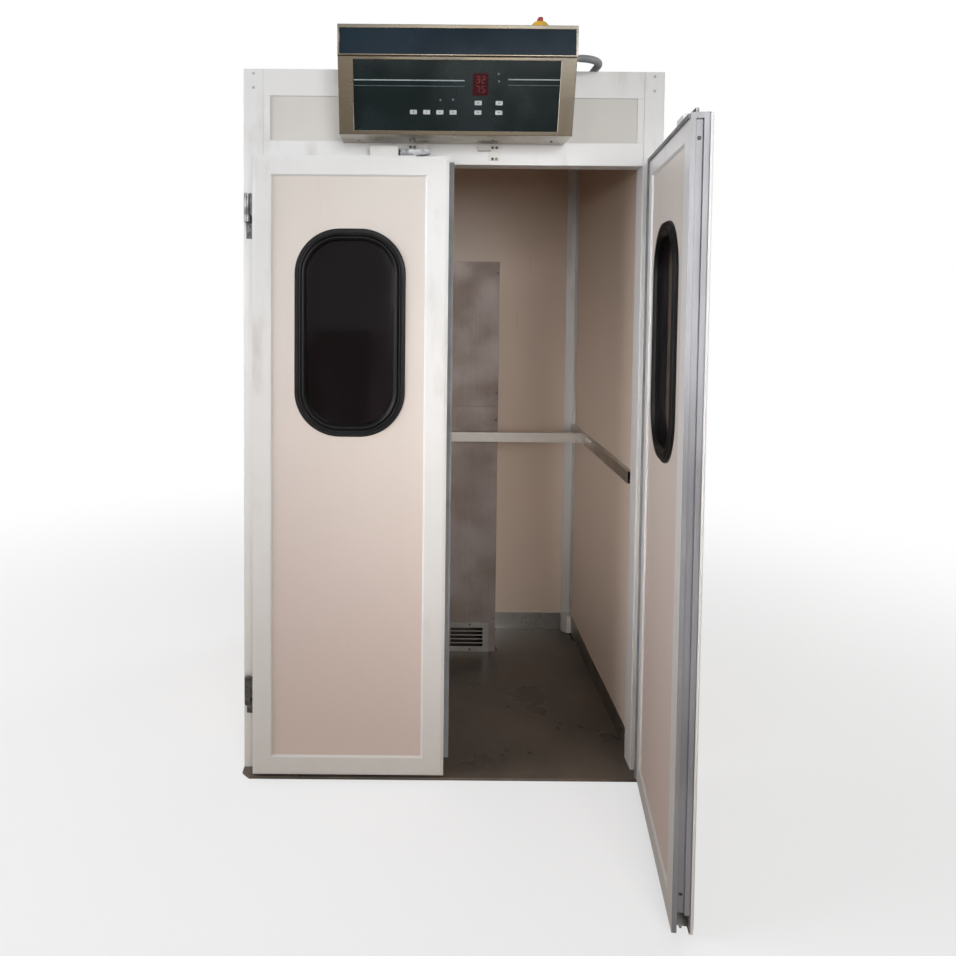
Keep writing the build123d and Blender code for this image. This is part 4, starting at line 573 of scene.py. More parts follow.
# The climate column is a casing of thin stainless sheet on the back wall. Its two front panels and
# its grille are screwed on, and rolling has left the sheets cloudy, with the grain upright.
column_steel = stainless(
    "column stainless", grain_upright,
    srgb(162, 150, 145), srgb(154, 141, 134), srgb(168, 158, 154), 0.6, 0.7,
)
for piece in ("column_casing", "column_front_panels"):
    eased(piece, 0.0005, column_steel)
grille_steel = stainless(
    "grille stainless", grain_across,
    srgb(150, 146, 140), srgb(140, 136, 130), srgb(158, 154, 149), 0.4, 0.5,
)
eased("column_grille", 0.0006, grille_steel)


# Inside the column are the fan on its motor, the heater rods, the tank that makes steam, and the
# probe on the side. They are bought parts in black enamel, moulded plastic and plain steel.
def enamel(name, colour, deep, roughness):
    """Paint or moulded plastic with a fine grain and slightly uneven colour."""
    return mottled(
        name, colour, (colour, deep), (22.0, 0.3, 0.7), roughness, (roughness * 0.85, roughness * 1.15),
        (1600.0, 0.00006, 0.3),
    )


motor_black = enamel("motor enamel", srgb(38, 38, 40), srgb(28, 28, 29), 0.4)
fan_black = enamel("fan moulding", srgb(30, 30, 31), srgb(22, 22, 23), 0.45)
eased("fan_motor", 0.0008, motor_black)
eased("fan_impeller", 0.0006, fan_black)
eased("humidifier", 0.0006, column_steel)
dress("air_heater", channel_steel)
eased("climate_probe", 0.0005, rail_steel)


# Each door is a cream laminated panel in a mitred frame of white profile. The frame has a raised
# step round its outside, a small bead round the panel, and a bare aluminium channel in its free edge.
# Whatever is shaped on the closed door is turned about the hinge pins to where the door stands.
hinges = {joint["child"]: joint for joint in frame["joints"] if joint["parent"] == "cabinet"}
swing_open = {"left_door": 0.0, "right_door": -math.radians(hinges["right_door"]["range_deg"][0])}
free_edge = {"left_door": -0.014, "right_door": 0.005}
door_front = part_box("left_door_frame")[0].y
door_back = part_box("left_door_frame")[1].y


def turned_with(door):
    """The turn that takes a piece made on the closed door to where the door stands."""
    pin = Matrix.Translation(hinges[door]["pos_m"])
    return pin @ Matrix.Rotation(swing_open[door], 4, "Z") @ pin.inverted()


def repaint(piece, finish, chosen, door):
    """Gives a second material to the faces picked by their middle and normal on the closed door."""
    mesh = piece.data
    mesh.materials.append(finish)
    back = turned_with(door).inverted()
    slot = len(mesh.materials) - 1
    for face in mesh.polygons:
        if chosen(back @ face.center, back.to_3x3() @ face.normal):
            face.material_index = slot


def edge_aluminium():
    finish, tree, shader = new_finish("edge aluminium", srgb(156, 156, 161), 0.44, 0.55)
    lines = use(tree, brushing, Stretch=(500.0, 500.0, 2.0), Strength=0.35)
    dulled = use(tree, clouds, Patches_per_metre=6.0, Stretch=(1.0, 1.0, 0.4), Low=0.35, High=0.7)
    coloured(tree, shader, dulled, srgb(160, 160, 165), srgb(138, 138, 142))
    tree.links.new(vary(tree, lines.outputs["Streak"], 0.36, 0.54), shader.inputs["Roughness"])
    tree.links.new(lines.outputs["Normal"], shader.inputs["Normal"])
    return finish


# The door sheet's third tone, used near the floor, is painted shade.
door_cream = cream_sheet(
    "cream door sheet", srgb(225, 220, 214), srgb(218, 210, 203), srgb(198, 180, 170)
)
bare_edge = edge_aluminium()
# The pocket at the foot of the free edge is painted dark brown: painted shade inside the hollow profile.
pocket_shade = enamel("pocket grime", srgb(52, 47, 42), srgb(34, 31, 28), 0.7)
lip_thickness, channel_depth = 0.009, 0.008
slack, margin = 0.0001, 0.001
pocket_depth, pocket_height = 0.026, 0.046
door_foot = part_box("left_door_frame")[0].z
for side in ("left", "right"):
    door = f"{side}_door"

    def in_edge_channel(middle, normal):
        depth_in = abs(middle.x - free_edge[door])
        behind_lip = door_front + lip_thickness - slack < middle.y < door_back - slack
        faces_out = abs(normal.x) > 0.5 or depth_in > 5 * slack
        return depth_in < channel_depth + margin and behind_lip and faces_out and abs(normal.z) < 0.5

    def in_edge_pocket(middle, normal):
        depth_in = abs(middle.x - free_edge[door])
        behind_lip = door_front + lip_thickness + slack < middle.y < door_back - slack
        past_channel = depth_in > channel_depth + margin or normal.z < -0.5
        low_down = door_foot + margin < middle.z < door_foot + pocket_height
        return depth_in < pocket_depth and behind_lip and past_channel and low_down

    door_frame = eased(f"{side}_door_frame", 0.0009, white_coat)
    repaint(door_frame, bare_edge, in_edge_channel, door)
    repaint(door_frame, pocket_shade, in_edge_pocket, door)
    dress(f"{side}_door_skins", door_cream)
    dress(f"{side}_door_core", core_foam)


# A black rubber ring holds each window. It grips the panel's edge with its outer lips and the panes
# with its inner ones, and a filler strip pressed into its groove spreads both.
# It is swept along a rounded rectangle, on a closed door, and then turned with the door.
def rounded_path(width, height, radius, steps):
    """Points round a rounded rectangle, each with the direction that looks out of it."""
    points = []
    corners = ((1, 1, 0), (-1, 1, 90), (-1, -1, 180), (1, -1, 270))
    for side_x, side_z, start in corners:
        centre = Vector((side_x * (width / 2 - radius), 0, side_z * (height / 2 - radius)))
        for step in range(steps + 1):
            angle = math.radians(start + 90 * step / steps)
            out = Vector((math.cos(angle), 0, math.sin(angle)))
            points.append((centre + out * radius, out))
    return points


def wall_between(shape, row, following):
    """Joins two closed rows of points by four-sided faces."""
    for k in range(len(row)):
        after = (k + 1) % len(row)
        shape.faces.new((row[k], row[after], following[after], following[k]))


def swept_ring(name, path, section, centre):
    """A closed ring: each section point is (inward, depth) from the path."""
    shape = bmesh.new()
    rows = [
        [
            shape.verts.new(centre + point - out * inward + Vector((0, depth, 0)))
            for inward, depth in section
        ]
        for point, out in path
    ]
    for row, following in zip(rows, rows[1:] + rows[:1]):
        wall_between(shape, row, following)
    bmesh.ops.recalc_face_normals(shape, faces=shape.faces)
    return made_mesh(name, shape, math.radians(50))


def arc(centre_in, centre_depth, radius, start, end, steps=5):
    """Section points along a round lip, by angle in degrees."""
    return [
        (
            centre_in + radius * math.cos(math.radians(start + (end - start) * k / steps)),
            centre_depth + radius * math.sin(math.radians(start + (end - start) * k / steps)),
        )
        for k in range(steps + 1)
    ]


def rubber(name, colour, worn, roughness, shine):
    return mottled(
        name, colour, (colour, worn), (14.0, 0.4, 0.75), roughness, (roughness, roughness + 0.16),
        (1400.0, 0.00007, 0.35), Specular_IOR_Level=shine,
    )


black_rubber = rubber("black rubber", srgb(9, 9, 10), srgb(22, 21, 22), 0.42, 0.25)
grey_rubber = rubber("grey rubber", srgb(128, 130, 132), srgb(112, 113, 114), 0.5, 0.5)
window_width, window_height, window_corner = 0.336, 0.632, 0.138
band, lap, pane_seat = 0.036, 0.020, 0.028
face_stand, lip_stand = 0.008, 0.011
edge_round, lip_round, lip_middle = 0.003, 0.005, 0.027
skins_low, skins_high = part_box("left_door_skins")
panel_half = (skins_high.y - skins_low.y) / 2
pane_near, pane_far = 0.006, 0.010
strip_start, strip_width, strip_sunk = 0.0135, 0.007, 0.0015
face = panel_half + face_stand
groove = face - strip_sunk
front_half = (
    [(0.0, panel_half)]
    + arc(edge_round, face - edge_round, edge_round, 180, 90)
    + [(strip_start - 0.002, face), (strip_start - 0.001, groove), (strip_start, groove)]
    + arc(strip_start + strip_width / 2, groove, strip_width / 2, 180, 0, 6)[1:-1]
    + [(strip_start + strip_width, groove)]
    + arc(lip_middle, panel_half + lip_stand - lip_round, lip_round, 125, 60, 4)
    + arc(band - edge_round, panel_half + edge_round / 2, edge_round, 45, 0, 3)
    + [(band, pane_far)]
)
grip = [
    (pane_seat, pane_far), (pane_seat, pane_near), (band, pane_near),
    (band, -pane_near), (pane_seat, -pane_near), (pane_seat, -pane_far),
]
back_half = [(inward, -depth) for inward, depth in reversed(front_half)]
seat = [(lap, -panel_half), (lap, panel_half)]
ring_section = [(inward, -depth) for inward, depth in front_half + grip + back_half + seat]


def window_centre(side):
    """The middle of a door's window while the door is closed, half way through its thickness."""
    low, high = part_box("left_window_gasket")
    middle = (low + high) / 2
    if side == "left":
        return middle
    hinge_edge = -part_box("left_door_frame")[0].x
    return Vector(((free_edge["right_door"] + hinge_edge) / 2, middle.y, middle.z))


for side in ("left", "right"):
    path = rounded_path(window_width, window_height, window_corner, 20)
    mesh = swept_ring(f"{side}_window_ring", path, ring_section, window_centre(side))
    mesh.transform(turned_with(f"{side}_door"))
    mesh.materials.append(black_rubber)
    ring = set_out(mesh.name, mesh)
    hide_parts(f"{side}_window_gasket")
    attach(ring, f"{side}_door")


# The panes are two flat sheets of smoked acrylic with still air between them, cut to the window's
# outline and held in the rubber ring. The doors' gaskets, and the strip that closes the gap between
# the doors, are grey rubber pressed into the frames.
def smoked_acrylic():
    finish, tree, shader = new_finish("smoked acrylic", srgb(30, 27, 30), 0.06)
    shader.inputs["Alpha"].default_value = 0.9
    shader.inputs["Specular IOR Level"].default_value = 0.35
    smears = use(tree, clouds, Patches_per_metre=9.0, Stretch=(1.0, 1.0, 0.3), Low=0.45, High=0.8)
    coloured(tree, shader, smears, srgb(20, 16, 18), srgb(36, 29, 33))
    roughened(tree, shader, smears, 0.05, 0.2)
    return finish


pane_acrylic = smoked_acrylic()
for side in ("left", "right"):
    dress(f"{side}_window_panes", pane_acrylic)
    eased(f"{side}_door_seals", 0.0006, grey_rubber)


# The hinges are plated lift-off ones: the lower half is screwed to the post and holds the pin,
# and the upper half is fixed to the door's edge and turns on it.
bright_plating = mottled(
    "bright plating", srgb(132, 133, 135), (srgb(138, 139, 141), srgb(98, 98, 100)), (40.0, 0.35, 0.7),
    0.4, (0.36, 0.5), metallic=1.0,
)
for piece in ("hinge_post_halves", "left_hinge_door_halves", "right_hinge_door_halves"):
    eased(piece, 0.0008, bright_plating)
dress("hinge_pins", bright_plating)


# Each door has a latch on its top edge: a white moulded housing, and a plated nose whose back and
# underside are black, partly its sleeve and partly painted shade. It rides over the tongue of a striker that
# is screwed to the header.
latch_white = enamel("white moulding", srgb(232, 232, 230), srgb(220, 219, 215), 0.3)
sleeve_and_shade_black = enamel("black sleeve", srgb(30, 30, 32), srgb(22, 22, 23), 0.38)
for side in ("left", "right"):
    eased(f"{side}_latch_body", 0.0012, latch_white)
    nose = eased(f"{side}_latch_nose", 0.0007, bright_plating)
    # Faces looking back or down are painted black: the sleeve, and painted shade under the nose.
    repaint(nose, sleeve_and_shade_black, lambda middle, normal: normal.y > 0.5 or normal.z < -0.5, f"{side}_door")
eased("latch_strikers", 0.0008, latch_white)


# The screws are small pan heads with a cross recess, each driven into the thread under it, and
# those in the tops of the front posts are capped with painted plugs. Two more sit in the right
# door's edge channel. All stand where the CAD screws do and look out along them.
head_height = 0.002
weld_distance = 0.000002


def screw_places(node):
    """The seat of each screw of a node and the way it looks out, from the lumps of its mesh."""
    shape = bmesh.new()
    shape.from_mesh(frame["nodes"][node].data)
    bmesh.ops.remove_doubles(shape, verts=shape.verts, dist=weld_distance)
    waiting = set(shape.verts)
    places = []
    while waiting:
        lump, edge = [], [next(iter(waiting))]
        waiting.discard(edge[0])
        while edge:
            vert = edge.pop()
            lump.append(vert.co.copy())
            for link in vert.link_edges:
                other = link.other_vert(vert)
                if other in waiting:
                    waiting.discard(other)
                    edge.append(other)
        low = Vector(min(point[axis] for point in lump) for axis in range(3))
        high = Vector(max(point[axis] for point in lump) for axis in range(3))
        along = 2 if high.y - low.y < high.z - low.z else 1
        head = (low + high) / 2
        head[along] = low[along]
        out = Vector((0, 0, 0))
        out[along] = -1
        places.append((head - out * head_height, out))
    shape.free()
    return places


screw_sides = 24


def turned_skin(shape, outline):
    """Rings of points round the Z axis for an outline of (radius, height), and the skin over them."""
    angles = [2 * math.pi * k / screw_sides for k in range(screw_sides)]
    rings = [
        [shape.verts.new((radius * math.cos(angle), radius * math.sin(angle), rise)) for angle in angles]
        for radius, rise in outline
    ]
    for upper, lower in zip(rings, rings[1:]):
        wall_between(shape, lower, upper)
    shape.faces.new(list(reversed(rings[-1])))
    return rings


def plug_pattern():
    """A shallow painted cap over a countersunk screw, looking up, with its seat at the origin."""
    shape = bmesh.new()
    rings = turned_skin(shape, [
        (0.0012, 0.0009), (0.0030, 0.0008), (0.0040, 0.0005), (0.0045, 0.0), (0.0020, -0.0002),
        (0.0020, -0.0078),
    ])
    shape.faces.new(rings[0])
    bmesh.ops.recalc_face_normals(shape, faces=shape.faces)
    return made_mesh("plug pattern", shape, math.radians(40))


def screw_pattern():
    """One pan head with its cross recess and its shank, looking up, with its seat at the origin."""
    head_radius, shank_radius, shank_length = 0.0045, 0.002, 0.0078
    shape = bmesh.new()
    rings = turned_skin(shape, [
        (0.0016, head_height), (0.0030, head_height - 0.0002), (0.0040, head_height - 0.0007),
        (head_radius, head_height - 0.0014), (head_radius, 0.0), (shank_radius, 0.0),
        (shank_radius, -shank_length),
    ])
    recess = []
    arm, slot, recess_depth = 0.0015, 0.00045, 0.0011
    for k in range(4):
        turn = Matrix.Rotation(math.pi / 2 * k, 3, "Z")
        for x, y in ((slot, slot), (slot, arm), (-slot, arm)):
            recess.append(shape.verts.new(turn @ Vector((x, y, head_height))))
    shape.faces.ensure_lookup_table()
    top_edges = [
        shape.edges.get((rings[0][k], rings[0][(k + 1) % screw_sides])) for k in range(screw_sides)
    ]
    cross_edges = [shape.edges.new((recess[k], recess[(k + 1) % len(recess)])) for k in range(len(recess))]
    bmesh.ops.bridge_loops(shape, edges=top_edges + cross_edges)
    floor = [shape.verts.new((v.co.x * 0.5, v.co.y * 0.5, head_height - recess_depth)) for v in recess]
    wall_between(shape, recess, floor)
    shape.faces.new(floor)
    bmesh.ops.recalc_face_normals(shape, faces=shape.faces)
    return made_mesh("screw pattern", shape, math.radians(40))


def new_growth(name, inputs, output):
    """An empty geometry tree with typed inputs and one output, and its two end nodes."""
    tree = bpy.data.node_groups.new(name, "GeometryNodeTree")
    for label, kind in inputs.items():
        tree.interface.new_socket(label, in_out="INPUT", socket_type="NodeSocket" + kind)
    tree.interface.new_socket(output, in_out="OUTPUT", socket_type="NodeSocketGeometry")
    return tree, tree.nodes.new("NodeGroupInput").outputs, tree.nodes.new("NodeGroupOutput").inputs


def build_screw_tree():
    """Puts a pattern at each point, looking along the point's own direction."""
    tree, given, result = new_growth("screws on their seats", {
        "Seats": "Geometry", "Pattern": "Object", "Finish": "Material", "Turn seed": "Int",
    }, "Screws")
    pattern = new_node(tree, "GeometryNodeObjectInfo", {"Object": given["Pattern"]})
    out = new_node(tree, "GeometryNodeInputNamedAttribute", {"Name": "out"}, data_type="FLOAT_VECTOR")
    aim = new_node(tree, "FunctionNodeAlignRotationToVector", {"Vector": out.outputs["Attribute"]}, axis="Z")
    turn = new_node(tree, "FunctionNodeRandomValue", {3: 2 * math.pi, "Seed": given["Turn seed"]})
    spin = new_node(tree, "FunctionNodeAxisAngleToRotation", {"Angle": turn.outputs[1]})
    both = new_node(tree, "FunctionNodeRotateRotation", {
        "Rotation": aim.outputs["Rotation"], "Rotate By": spin.outputs["Rotation"],
    }, rotation_space="LOCAL")
    place = new_node(tree, "GeometryNodeInstanceOnPoints", {
        "Points": given["Seats"], "Instance": pattern.outputs["Geometry"],
        "Rotation": both.outputs["Rotation"],
    })
    real = new_node(tree, "GeometryNodeRealizeInstances", {"Geometry": place.outputs["Instances"]})
    paint = new_node(tree, "GeometryNodeSetMaterial", {
        "Geometry": real.outputs["Geometry"], "Material": given["Finish"],
    })
    tree.links.new(paint.outputs["Geometry"], result["Screws"])
    return tree


def grown(name, seed_mesh, tree, values):
    """Runs a geometry tree on a mesh with its named inputs and keeps the result as a plain mesh."""
    seed = set_out(name, seed_mesh)
    growth = seed.modifiers.new(name, "NODES")
    growth.node_group = tree
    for item in tree.interface.items_tree:
        if item.in_out == "INPUT" and item.name in values:
            growth[item.identifier] = values[item.name]
    bpy.context.view_layer.update()
    mesh = bpy.data.meshes.new_from_object(seed.evaluated_get(bpy.context.evaluated_depsgraph_get()))
    seed.modifiers.remove(growth)
    seed.data = mesh
    mesh.name = name
    return seed


screw_steel = mottled(
    "screw steel", srgb(118, 116, 114), (srgb(126, 124, 121), srgb(78, 75, 72)), (90.0, 0.35, 0.7),
    0.34, (0.28, 0.5), metallic=1.0,
)
plug_paint = enamel("painted plug", srgb(196, 197, 198), srgb(178, 179, 181), 0.45)
screw_tree = build_screw_tree()


def set_on_seats(name, seats, pattern_mesh, finish):
    """A mesh with the pattern on each (seat, way out), each turned by its own angle."""
    seat_mesh = bpy.data.meshes.new(name + " seats")
    seat_mesh.from_pydata([seat for seat, _ in seats], [], [])
    outward = seat_mesh.attributes.new("out", "FLOAT_VECTOR", "POINT")
    for number, (_, out) in enumerate(seats):
        outward.data[number].vector = out
    pattern = set_out(name + " pattern", pattern_mesh)
    piece = grown(name, seat_mesh, screw_tree, {"Pattern": pattern, "Finish": finish, "Turn seed": 7})
    bpy.data.objects.remove(pattern)
    return piece


post_from, plug_height = 0.6, 2.1
seats = screw_places("cabinet_screws")
is_plug = [abs(seat.x) > post_from and seat.z > plug_height for seat, _ in seats]
bare_seats = [seat for seat, plug in zip(seats, is_plug) if not plug]
plug_seats = [seat for seat, plug in zip(seats, is_plug) if plug]
for name, chosen, pattern_mesh, finish in (
    ("cabinet_screw_set", bare_seats, screw_pattern(), screw_steel),
    ("post_plug_set", plug_seats, plug_pattern(), plug_paint),
):
    screws = set_on_seats(name, chosen, pattern_mesh, finish)
    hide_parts("cabinet_screws")
    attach(screws, "cabinet")

edge_screw_heights = (1.872, 0.111)
channel_middle = 0.0315
turn = turned_with("right_door")
edge_seats = [
    (turn @ Vector((free_edge["right_door"] + channel_depth, door_front + channel_middle, rise)),
     turn.to_3x3() @ Vector((-1, 0, 0)))
    for rise in edge_screw_heights
]
edge_screws = set_on_seats("right_door_edge_screws", edge_seats, screw_pattern(), screw_steel)
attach(edge_screws, "right_door")


# The control box is a folded stainless shell on the header, open behind where a plate closes it.
# Its grain runs across, and its edges are folded to a small radius.
box_steel = stainless(
    "box stainless", grain_across,
    srgb(166, 158, 144), srgb(146, 135, 117), srgb(180, 174, 161), 0.18, 0.3,
)
eased("box_shell", 0.0012, box_steel)
dress("box_back_plate", channel_steel)


# Behind the box's two windows are dark sheets with a blue-black gloss. The upper one is bare, and
# the lower one has two printed lines on each side of the display.
def dark_gloss(name, deep, filmed, shine):
    return mottled(
        name, deep, (deep, filmed), (6.0, 0.3, 0.75), 0.24, (0.2, 0.32), (1500.0, 0.00004, 0.2),
        Specular_IOR_Level=shine,
    )


dress("box_upper_panel", dark_gloss("upper dark panel", srgb(16, 34, 47), srgb(25, 44, 57), 0.15))
dress("box_key_panel", dark_gloss("key panel", srgb(8, 26, 28), srgb(13, 32, 36), 0.35))

shell_low, shell_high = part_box("box_shell")
band_height = 0.086
slope_low_y, slope_high_y = -0.132, -0.190
slope_low_z, slope_high_z = shell_low.z, shell_high.z - band_height
slope_up = Vector((0, slope_high_y - slope_low_y, slope_high_z - slope_low_z))
slope_length = slope_up.length
slope_up.normalize()
slope_out = Vector((1, 0, 0)).cross(slope_up)
slope_middle = Vector((0, (slope_low_y + slope_high_y) / 2, (slope_low_z + slope_high_z) / 2))


def on_slope(across_x, rise, stand):
    """A point of the sloping face: across, up from its middle, and out from its surface."""
    return slope_middle + Vector((across_x, 0, 0)) + slope_up * rise + slope_out * stand


def slope_plate(name, outline, low_stand, high_stand, finish, body="cabinet"):
    """A thin piece on the sloping face from an outline of (across, rise) points."""
    shape = bmesh.new()
    lower = [shape.verts.new(on_slope(x, rise, low_stand)) for x, rise in outline]
    upper = [shape.verts.new(on_slope(x, rise, high_stand)) for x, rise in outline]
    shape.faces.new(list(reversed(lower)))
    shape.faces.new(upper)
    wall_between(shape, lower, upper)
    bmesh.ops.recalc_face_normals(shape, faces=shape.faces)
    mesh = made_mesh(name, shape)
    mesh.materials.append(finish)
    piece = set_out(name, mesh)
    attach(piece, body)
    return piece


def bar(x_low, x_high, rise_low, rise_high):
    return [(x_low, rise_low), (x_high, rise_low), (x_high, rise_high), (x_low, rise_high)]


def ink(name, colour, worn):
    return mottled(name, colour, (colour, worn), (30.0, 0.35, 0.8), 0.5)


panel_face = -0.002
ink_stand = 0.0001
line_rises = ((0.0435, 0.0030, "bright"), (0.0280, 0.0013, "faint"))
line_runs = ((-0.293, 0.022, 0.0), (0.146, 0.293, 0.004))
inks = {
    "bright": ink("bright line", srgb(176, 192, 194), srgb(142, 160, 164)),
    "faint": ink("faint line", srgb(104, 124, 130), srgb(80, 98, 104)),
}
for row, (rise, thickness, tone) in enumerate(line_rises):
    for column, (start, end, lift) in enumerate(line_runs):
        middle = rise + lift
        line = slope_plate(
            f"panel_line_{row}_{column}", bar(start, end, middle - thickness / 2, middle + thickness / 2),
            panel_face, panel_face + ink_stand, inks[tone],
        )


lamp_radius = 0.0030
lamp_places = ((-0.046, 0.097), (-0.010, 0.099), (0.118, 0.170), (0.120, 0.150))


def disc(x, rise, radius, steps=16):
    return [
        (x + radius * math.cos(2 * math.pi * k / steps), rise + radius * math.sin(2 * math.pi * k / steps))
        for k in range(steps)
    ]


for number, (x, up_slope) in enumerate(lamp_places, start=1):
    lamp = slope_plate(
        f"panel_lamp_{number}", disc(x, up_slope - slope_length / 2, lamp_radius),
        panel_face, panel_face + ink_stand, inks["faint"],
    )


# The keys are grey caps in the lower sheet, each with a plain printed sign on its face. The display
# beside them is a dark red window, with two rows of plain figures lit behind it.
key_cap = enamel("key cap", srgb(206, 212, 213), srgb(188, 195, 197), 0.4)
sign_ink = ink("key sign", srgb(46, 54, 60), srgb(66, 74, 80))


def arrow(way):
    """A small three-cornered sign that points up or down."""
    return [(-0.0026, -0.0015 * way), (0.0026, -0.0015 * way), (0.0, 0.0022 * way)]


key_signs = [
    [disc(0.0, 0.0, 0.0020)], [bar(-0.0006, 0.0006, -0.0020, 0.0020)],
    [bar(-0.0030, 0.0030, 0.0006, 0.0016), bar(-0.0030, 0.0030, -0.0016, -0.0006)],
    [bar(-0.0024, -0.0010, -0.0018, 0.0018), bar(0.0010, 0.0024, -0.0018, 0.0018)],
    [arrow(1)], [arrow(1)], [arrow(-1)], [arrow(-1)],
]
for number, signs in enumerate(key_signs, start=1):
    key = f"key_{number}"
    eased(key, 0.0005, key_cap)
    stands = [(vert.co - slope_middle).dot(slope_out) for vert in frame["nodes"][key].data.vertices]
    low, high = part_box(key)
    key_x = (low.x + high.x) / 2
    key_rise = ((low + high) / 2 - slope_middle).dot(slope_up)
    for part, sign in enumerate(signs, start=1):
        printed = slope_plate(
            f"{key}_sign_{part}", [(key_x + x, key_rise + rise) for x, rise in sign],
            max(stands), max(stands) + ink_stand, sign_ink, key,
        )


dress("display_window", mottled(
    "display window", srgb(40, 8, 14), (srgb(38, 8, 14), srgb(58, 8, 18)), (30.0, 0.3, 0.7), 0.16,
    Emission_Color=(0.6, 0.01, 0.03, 1), Emission_Strength=0.03,
))
segment_red = mottled(
    "lit figure", srgb(120, 12, 26), (srgb(128, 14, 28), srgb(96, 10, 22)), (400.0, 0.3, 0.8), 0.4,
    Emission_Color=(1.0, 0.05, 0.05, 1), Emission_Strength=0.05,
)
figure_width, figure_height, stroke = 0.0085, 0.0165, 0.0017
figure_pitch, row_pitch = 0.0155, 0.026
lit = {"3": "abgcd", "2": "abged", "7": "abc", "5": "afgcd"}
segment_ends = {
    "a": (-0.5, 1, 0.5, 1), "b": (0.5, 0, 0.5, 1), "c": (0.5, -1, 0.5, 0), "d": (-0.5, -1, 0.5, -1),
    "e": (-0.5, -1, -0.5, 0), "f": (-0.5, 0, -0.5, 1), "g": (-0.5, 0, 0.5, 0),
}
segment_gap = stroke * 0.6
display_x, display_rise = 0.0675, 0.032 / slope_up.z


def figure_outlines(figure, x, rise):
    """The bars of one lit figure, as outlines on the sloping face, with gaps where bars meet."""
    for segment in lit[figure]:
        x0, r0, x1, r1 = segment_ends[segment]
        in_x, in_rise = (segment_gap, -stroke / 2) if r0 == r1 else (-stroke / 2, segment_gap)
        yield bar(
            x + x0 * figure_width + in_x, x + x1 * figure_width - in_x,
            rise + r0 * figure_height / 2 + in_rise, rise + r1 * figure_height / 2 - in_rise,
        )


count = 0
for row, pair in enumerate(("32", "75")):
    for column, figure in enumerate(pair):
        x = display_x + (column - 0.5) * figure_pitch
        rise = display_rise + (0.5 - row) * row_pitch
        for outline in figure_outlines(figure, x, rise):
            count += 1
            stroke_piece = slope_plate(
                f"display_figure_{count}", outline, panel_face, panel_face + ink_stand, segment_red
            )


# The main switch stands on the box: a red bar handle on a yellow dome, both moulded. The handle's
# shaft goes down through the dome to the contact block.
eased("switch_bezel", 0.0008, enamel("yellow moulding", srgb(236, 190, 50), srgb(222, 172, 36), 0.34))
eased("switch_knob", 0.0005, enamel("red moulding", srgb(176, 26, 22), srgb(150, 18, 16), 0.32))


# Inside the box a green laminate circuit board stands on posts behind the keys. A rail on the back
# plate carries the transformer and the contactors, which are bought parts in grey mouldings.
eased("control_board", 0.0003, enamel("circuit board", srgb(34, 98, 60), srgb(26, 78, 46), 0.4))
eased("power_unit", 0.0010, enamel("grey mouldings", srgb(118, 120, 124), srgb(98, 100, 104), 0.45))


# The conduit is a ribbed plastic hose. It leaves the box's end through a gland, bends back over the
# header and goes into a small junction box on the roof.
# Its ribs are grown along its middle line: the hose swells and narrows once for each rib.
conduit_grey = enamel("conduit plastic", srgb(158, 161, 165), srgb(140, 143, 147), 0.42)
eased("conduit_fittings", 0.0010, conduit_grey)

valley, crest = 0.0096, 0.0110
bend_radius = 0.072
gland_low, gland_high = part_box("conduit")
run_z = (gland_low.z + gland_high.z) / 2
start_x = gland_low.x
line_y = -0.090
plain_end = crest
rib_pitch, rings_per_rib = 0.004, 10
rib_fullness = 0.6


def middle_line():
    """Points along the hose's middle: a short run, a quarter bend and a long run."""
    points = [Vector((start_x, line_y, run_z)), Vector((start_x + plain_end, line_y, run_z))]
    centre = Vector((start_x + plain_end, line_y + bend_radius, run_z))
    steps = 24
    for k in range(1, steps + 1):
        angle = math.pi / 2 * k / steps
        points.append(centre + bend_radius * Vector((math.sin(angle), -math.cos(angle), 0)))
    points.append(Vector((centre.x + bend_radius, gland_high.y, run_z)))
    return points


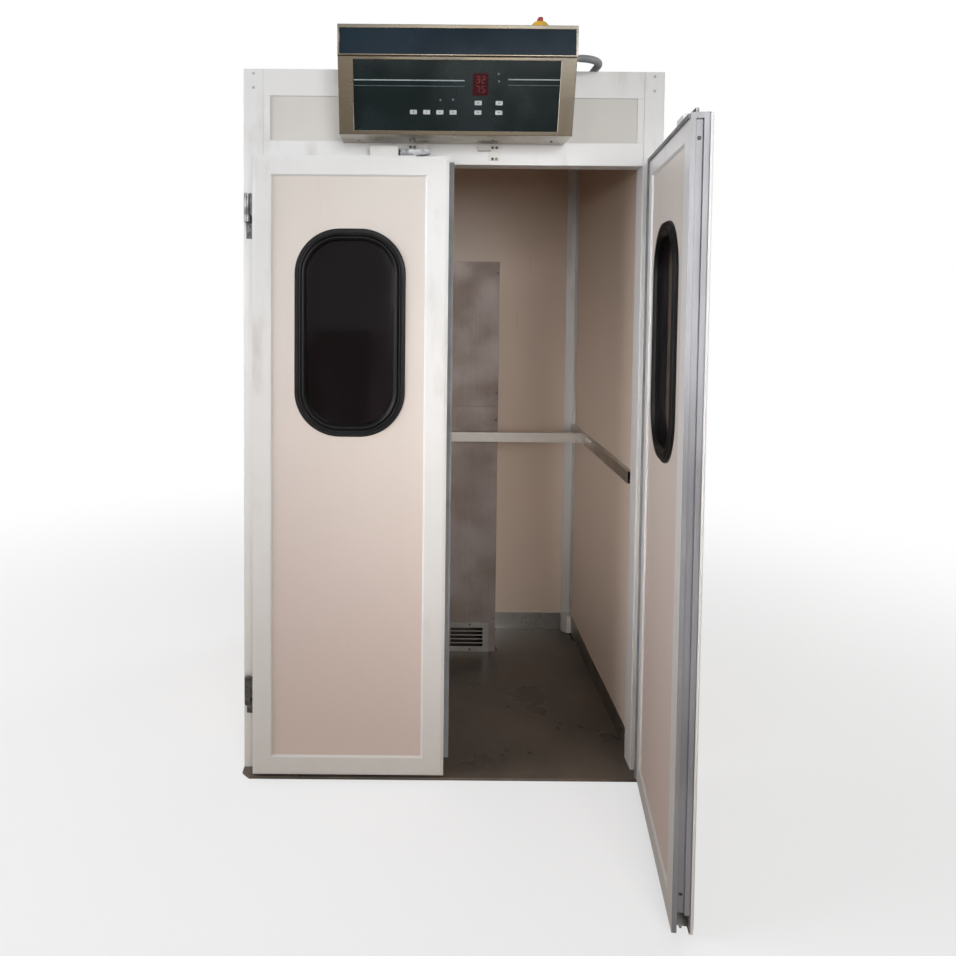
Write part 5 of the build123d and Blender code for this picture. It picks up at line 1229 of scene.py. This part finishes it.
def build_hose_tree(ribs):
    """Sweeps a ring along a line and swells it once for each rib, plain at both ends."""
    tree, given, result = new_growth("ribbed hose", {
        "Line": "Geometry", "Valley radius": "Float", "Rib height": "Float", "Ribs": "Float",
        "Plain end": "Float", "Finish": "Material",
    }, "Hose")
    line = new_node(tree, "GeometryNodeMeshToCurve", {"Mesh": given["Line"]})
    fine = new_node(tree, "GeometryNodeResampleCurve", {
        "Curve": line.outputs["Curve"], "Count": ribs * rings_per_rib + 1,
    })
    along = new_node(tree, "GeometryNodeSplineParameter")
    length = new_node(tree, "GeometryNodeSplineLength")

    def sum_of(operation, *values, clamp=False):
        return new_node(
            tree, "ShaderNodeMath", dict(enumerate(values)), operation=operation, use_clamp=clamp
        ).outputs[0]

    both_ends = sum_of("MULTIPLY", given["Plain end"], 2.0)
    ribbed = sum_of("SUBTRACT", length.outputs["Length"], both_ends)
    inside = sum_of("SUBTRACT", along.outputs["Length"], given["Plain end"])
    share = sum_of("DIVIDE", inside, ribbed, clamp=True)
    phase = sum_of("MULTIPLY", sum_of("MULTIPLY", share, given["Ribs"]), 2 * math.pi)
    wave = sum_of("SUBTRACT", 1.0, sum_of("COSINE", phase))
    square = sum_of("POWER", sum_of("MULTIPLY", wave, 0.5), rib_fullness)
    rise = sum_of("MULTIPLY", square, given["Rib height"])
    radius = sum_of("ADD", rise, given["Valley radius"])
    swollen = new_node(tree, "GeometryNodeSetCurveRadius", {
        "Curve": fine.outputs["Curve"], "Radius": radius,
    })
    ring = new_node(tree, "GeometryNodeCurvePrimitiveCircle", {"Resolution": 28, "Radius": 1.0})
    hose = new_node(tree, "GeometryNodeCurveToMesh", {
        "Curve": swollen.outputs["Curve"], "Profile Curve": ring.outputs["Curve"], "Scale": radius,
    })
    real = new_node(tree, "GeometryNodeRealizeInstances", {"Geometry": hose.outputs["Mesh"]})
    smooth = new_node(tree, "GeometryNodeSetShadeSmooth", {"Geometry": real.outputs["Geometry"]})
    paint = new_node(tree, "GeometryNodeSetMaterial", {
        "Geometry": smooth.outputs["Geometry"], "Material": given["Finish"],
    })
    tree.links.new(paint.outputs["Geometry"], result["Hose"])
    return tree


line_points = middle_line()
line_length = sum((b - a).length for a, b in zip(line_points, line_points[1:]))
ribs = int((line_length - 2 * plain_end) / rib_pitch)
line_mesh = bpy.data.meshes.new("hose line")
line_mesh.from_pydata(line_points, [(k, k + 1) for k in range(len(line_points) - 1)], [])
hose = grown(
    "ribbed_conduit", line_mesh, build_hose_tree(ribs),
    {
        "Valley radius": valley, "Rib height": crest - valley, "Ribs": float(ribs), "Plain end": plain_end,
        "Finish": conduit_grey,
    },
)
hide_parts("conduit")
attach(hose, "cabinet")


import json
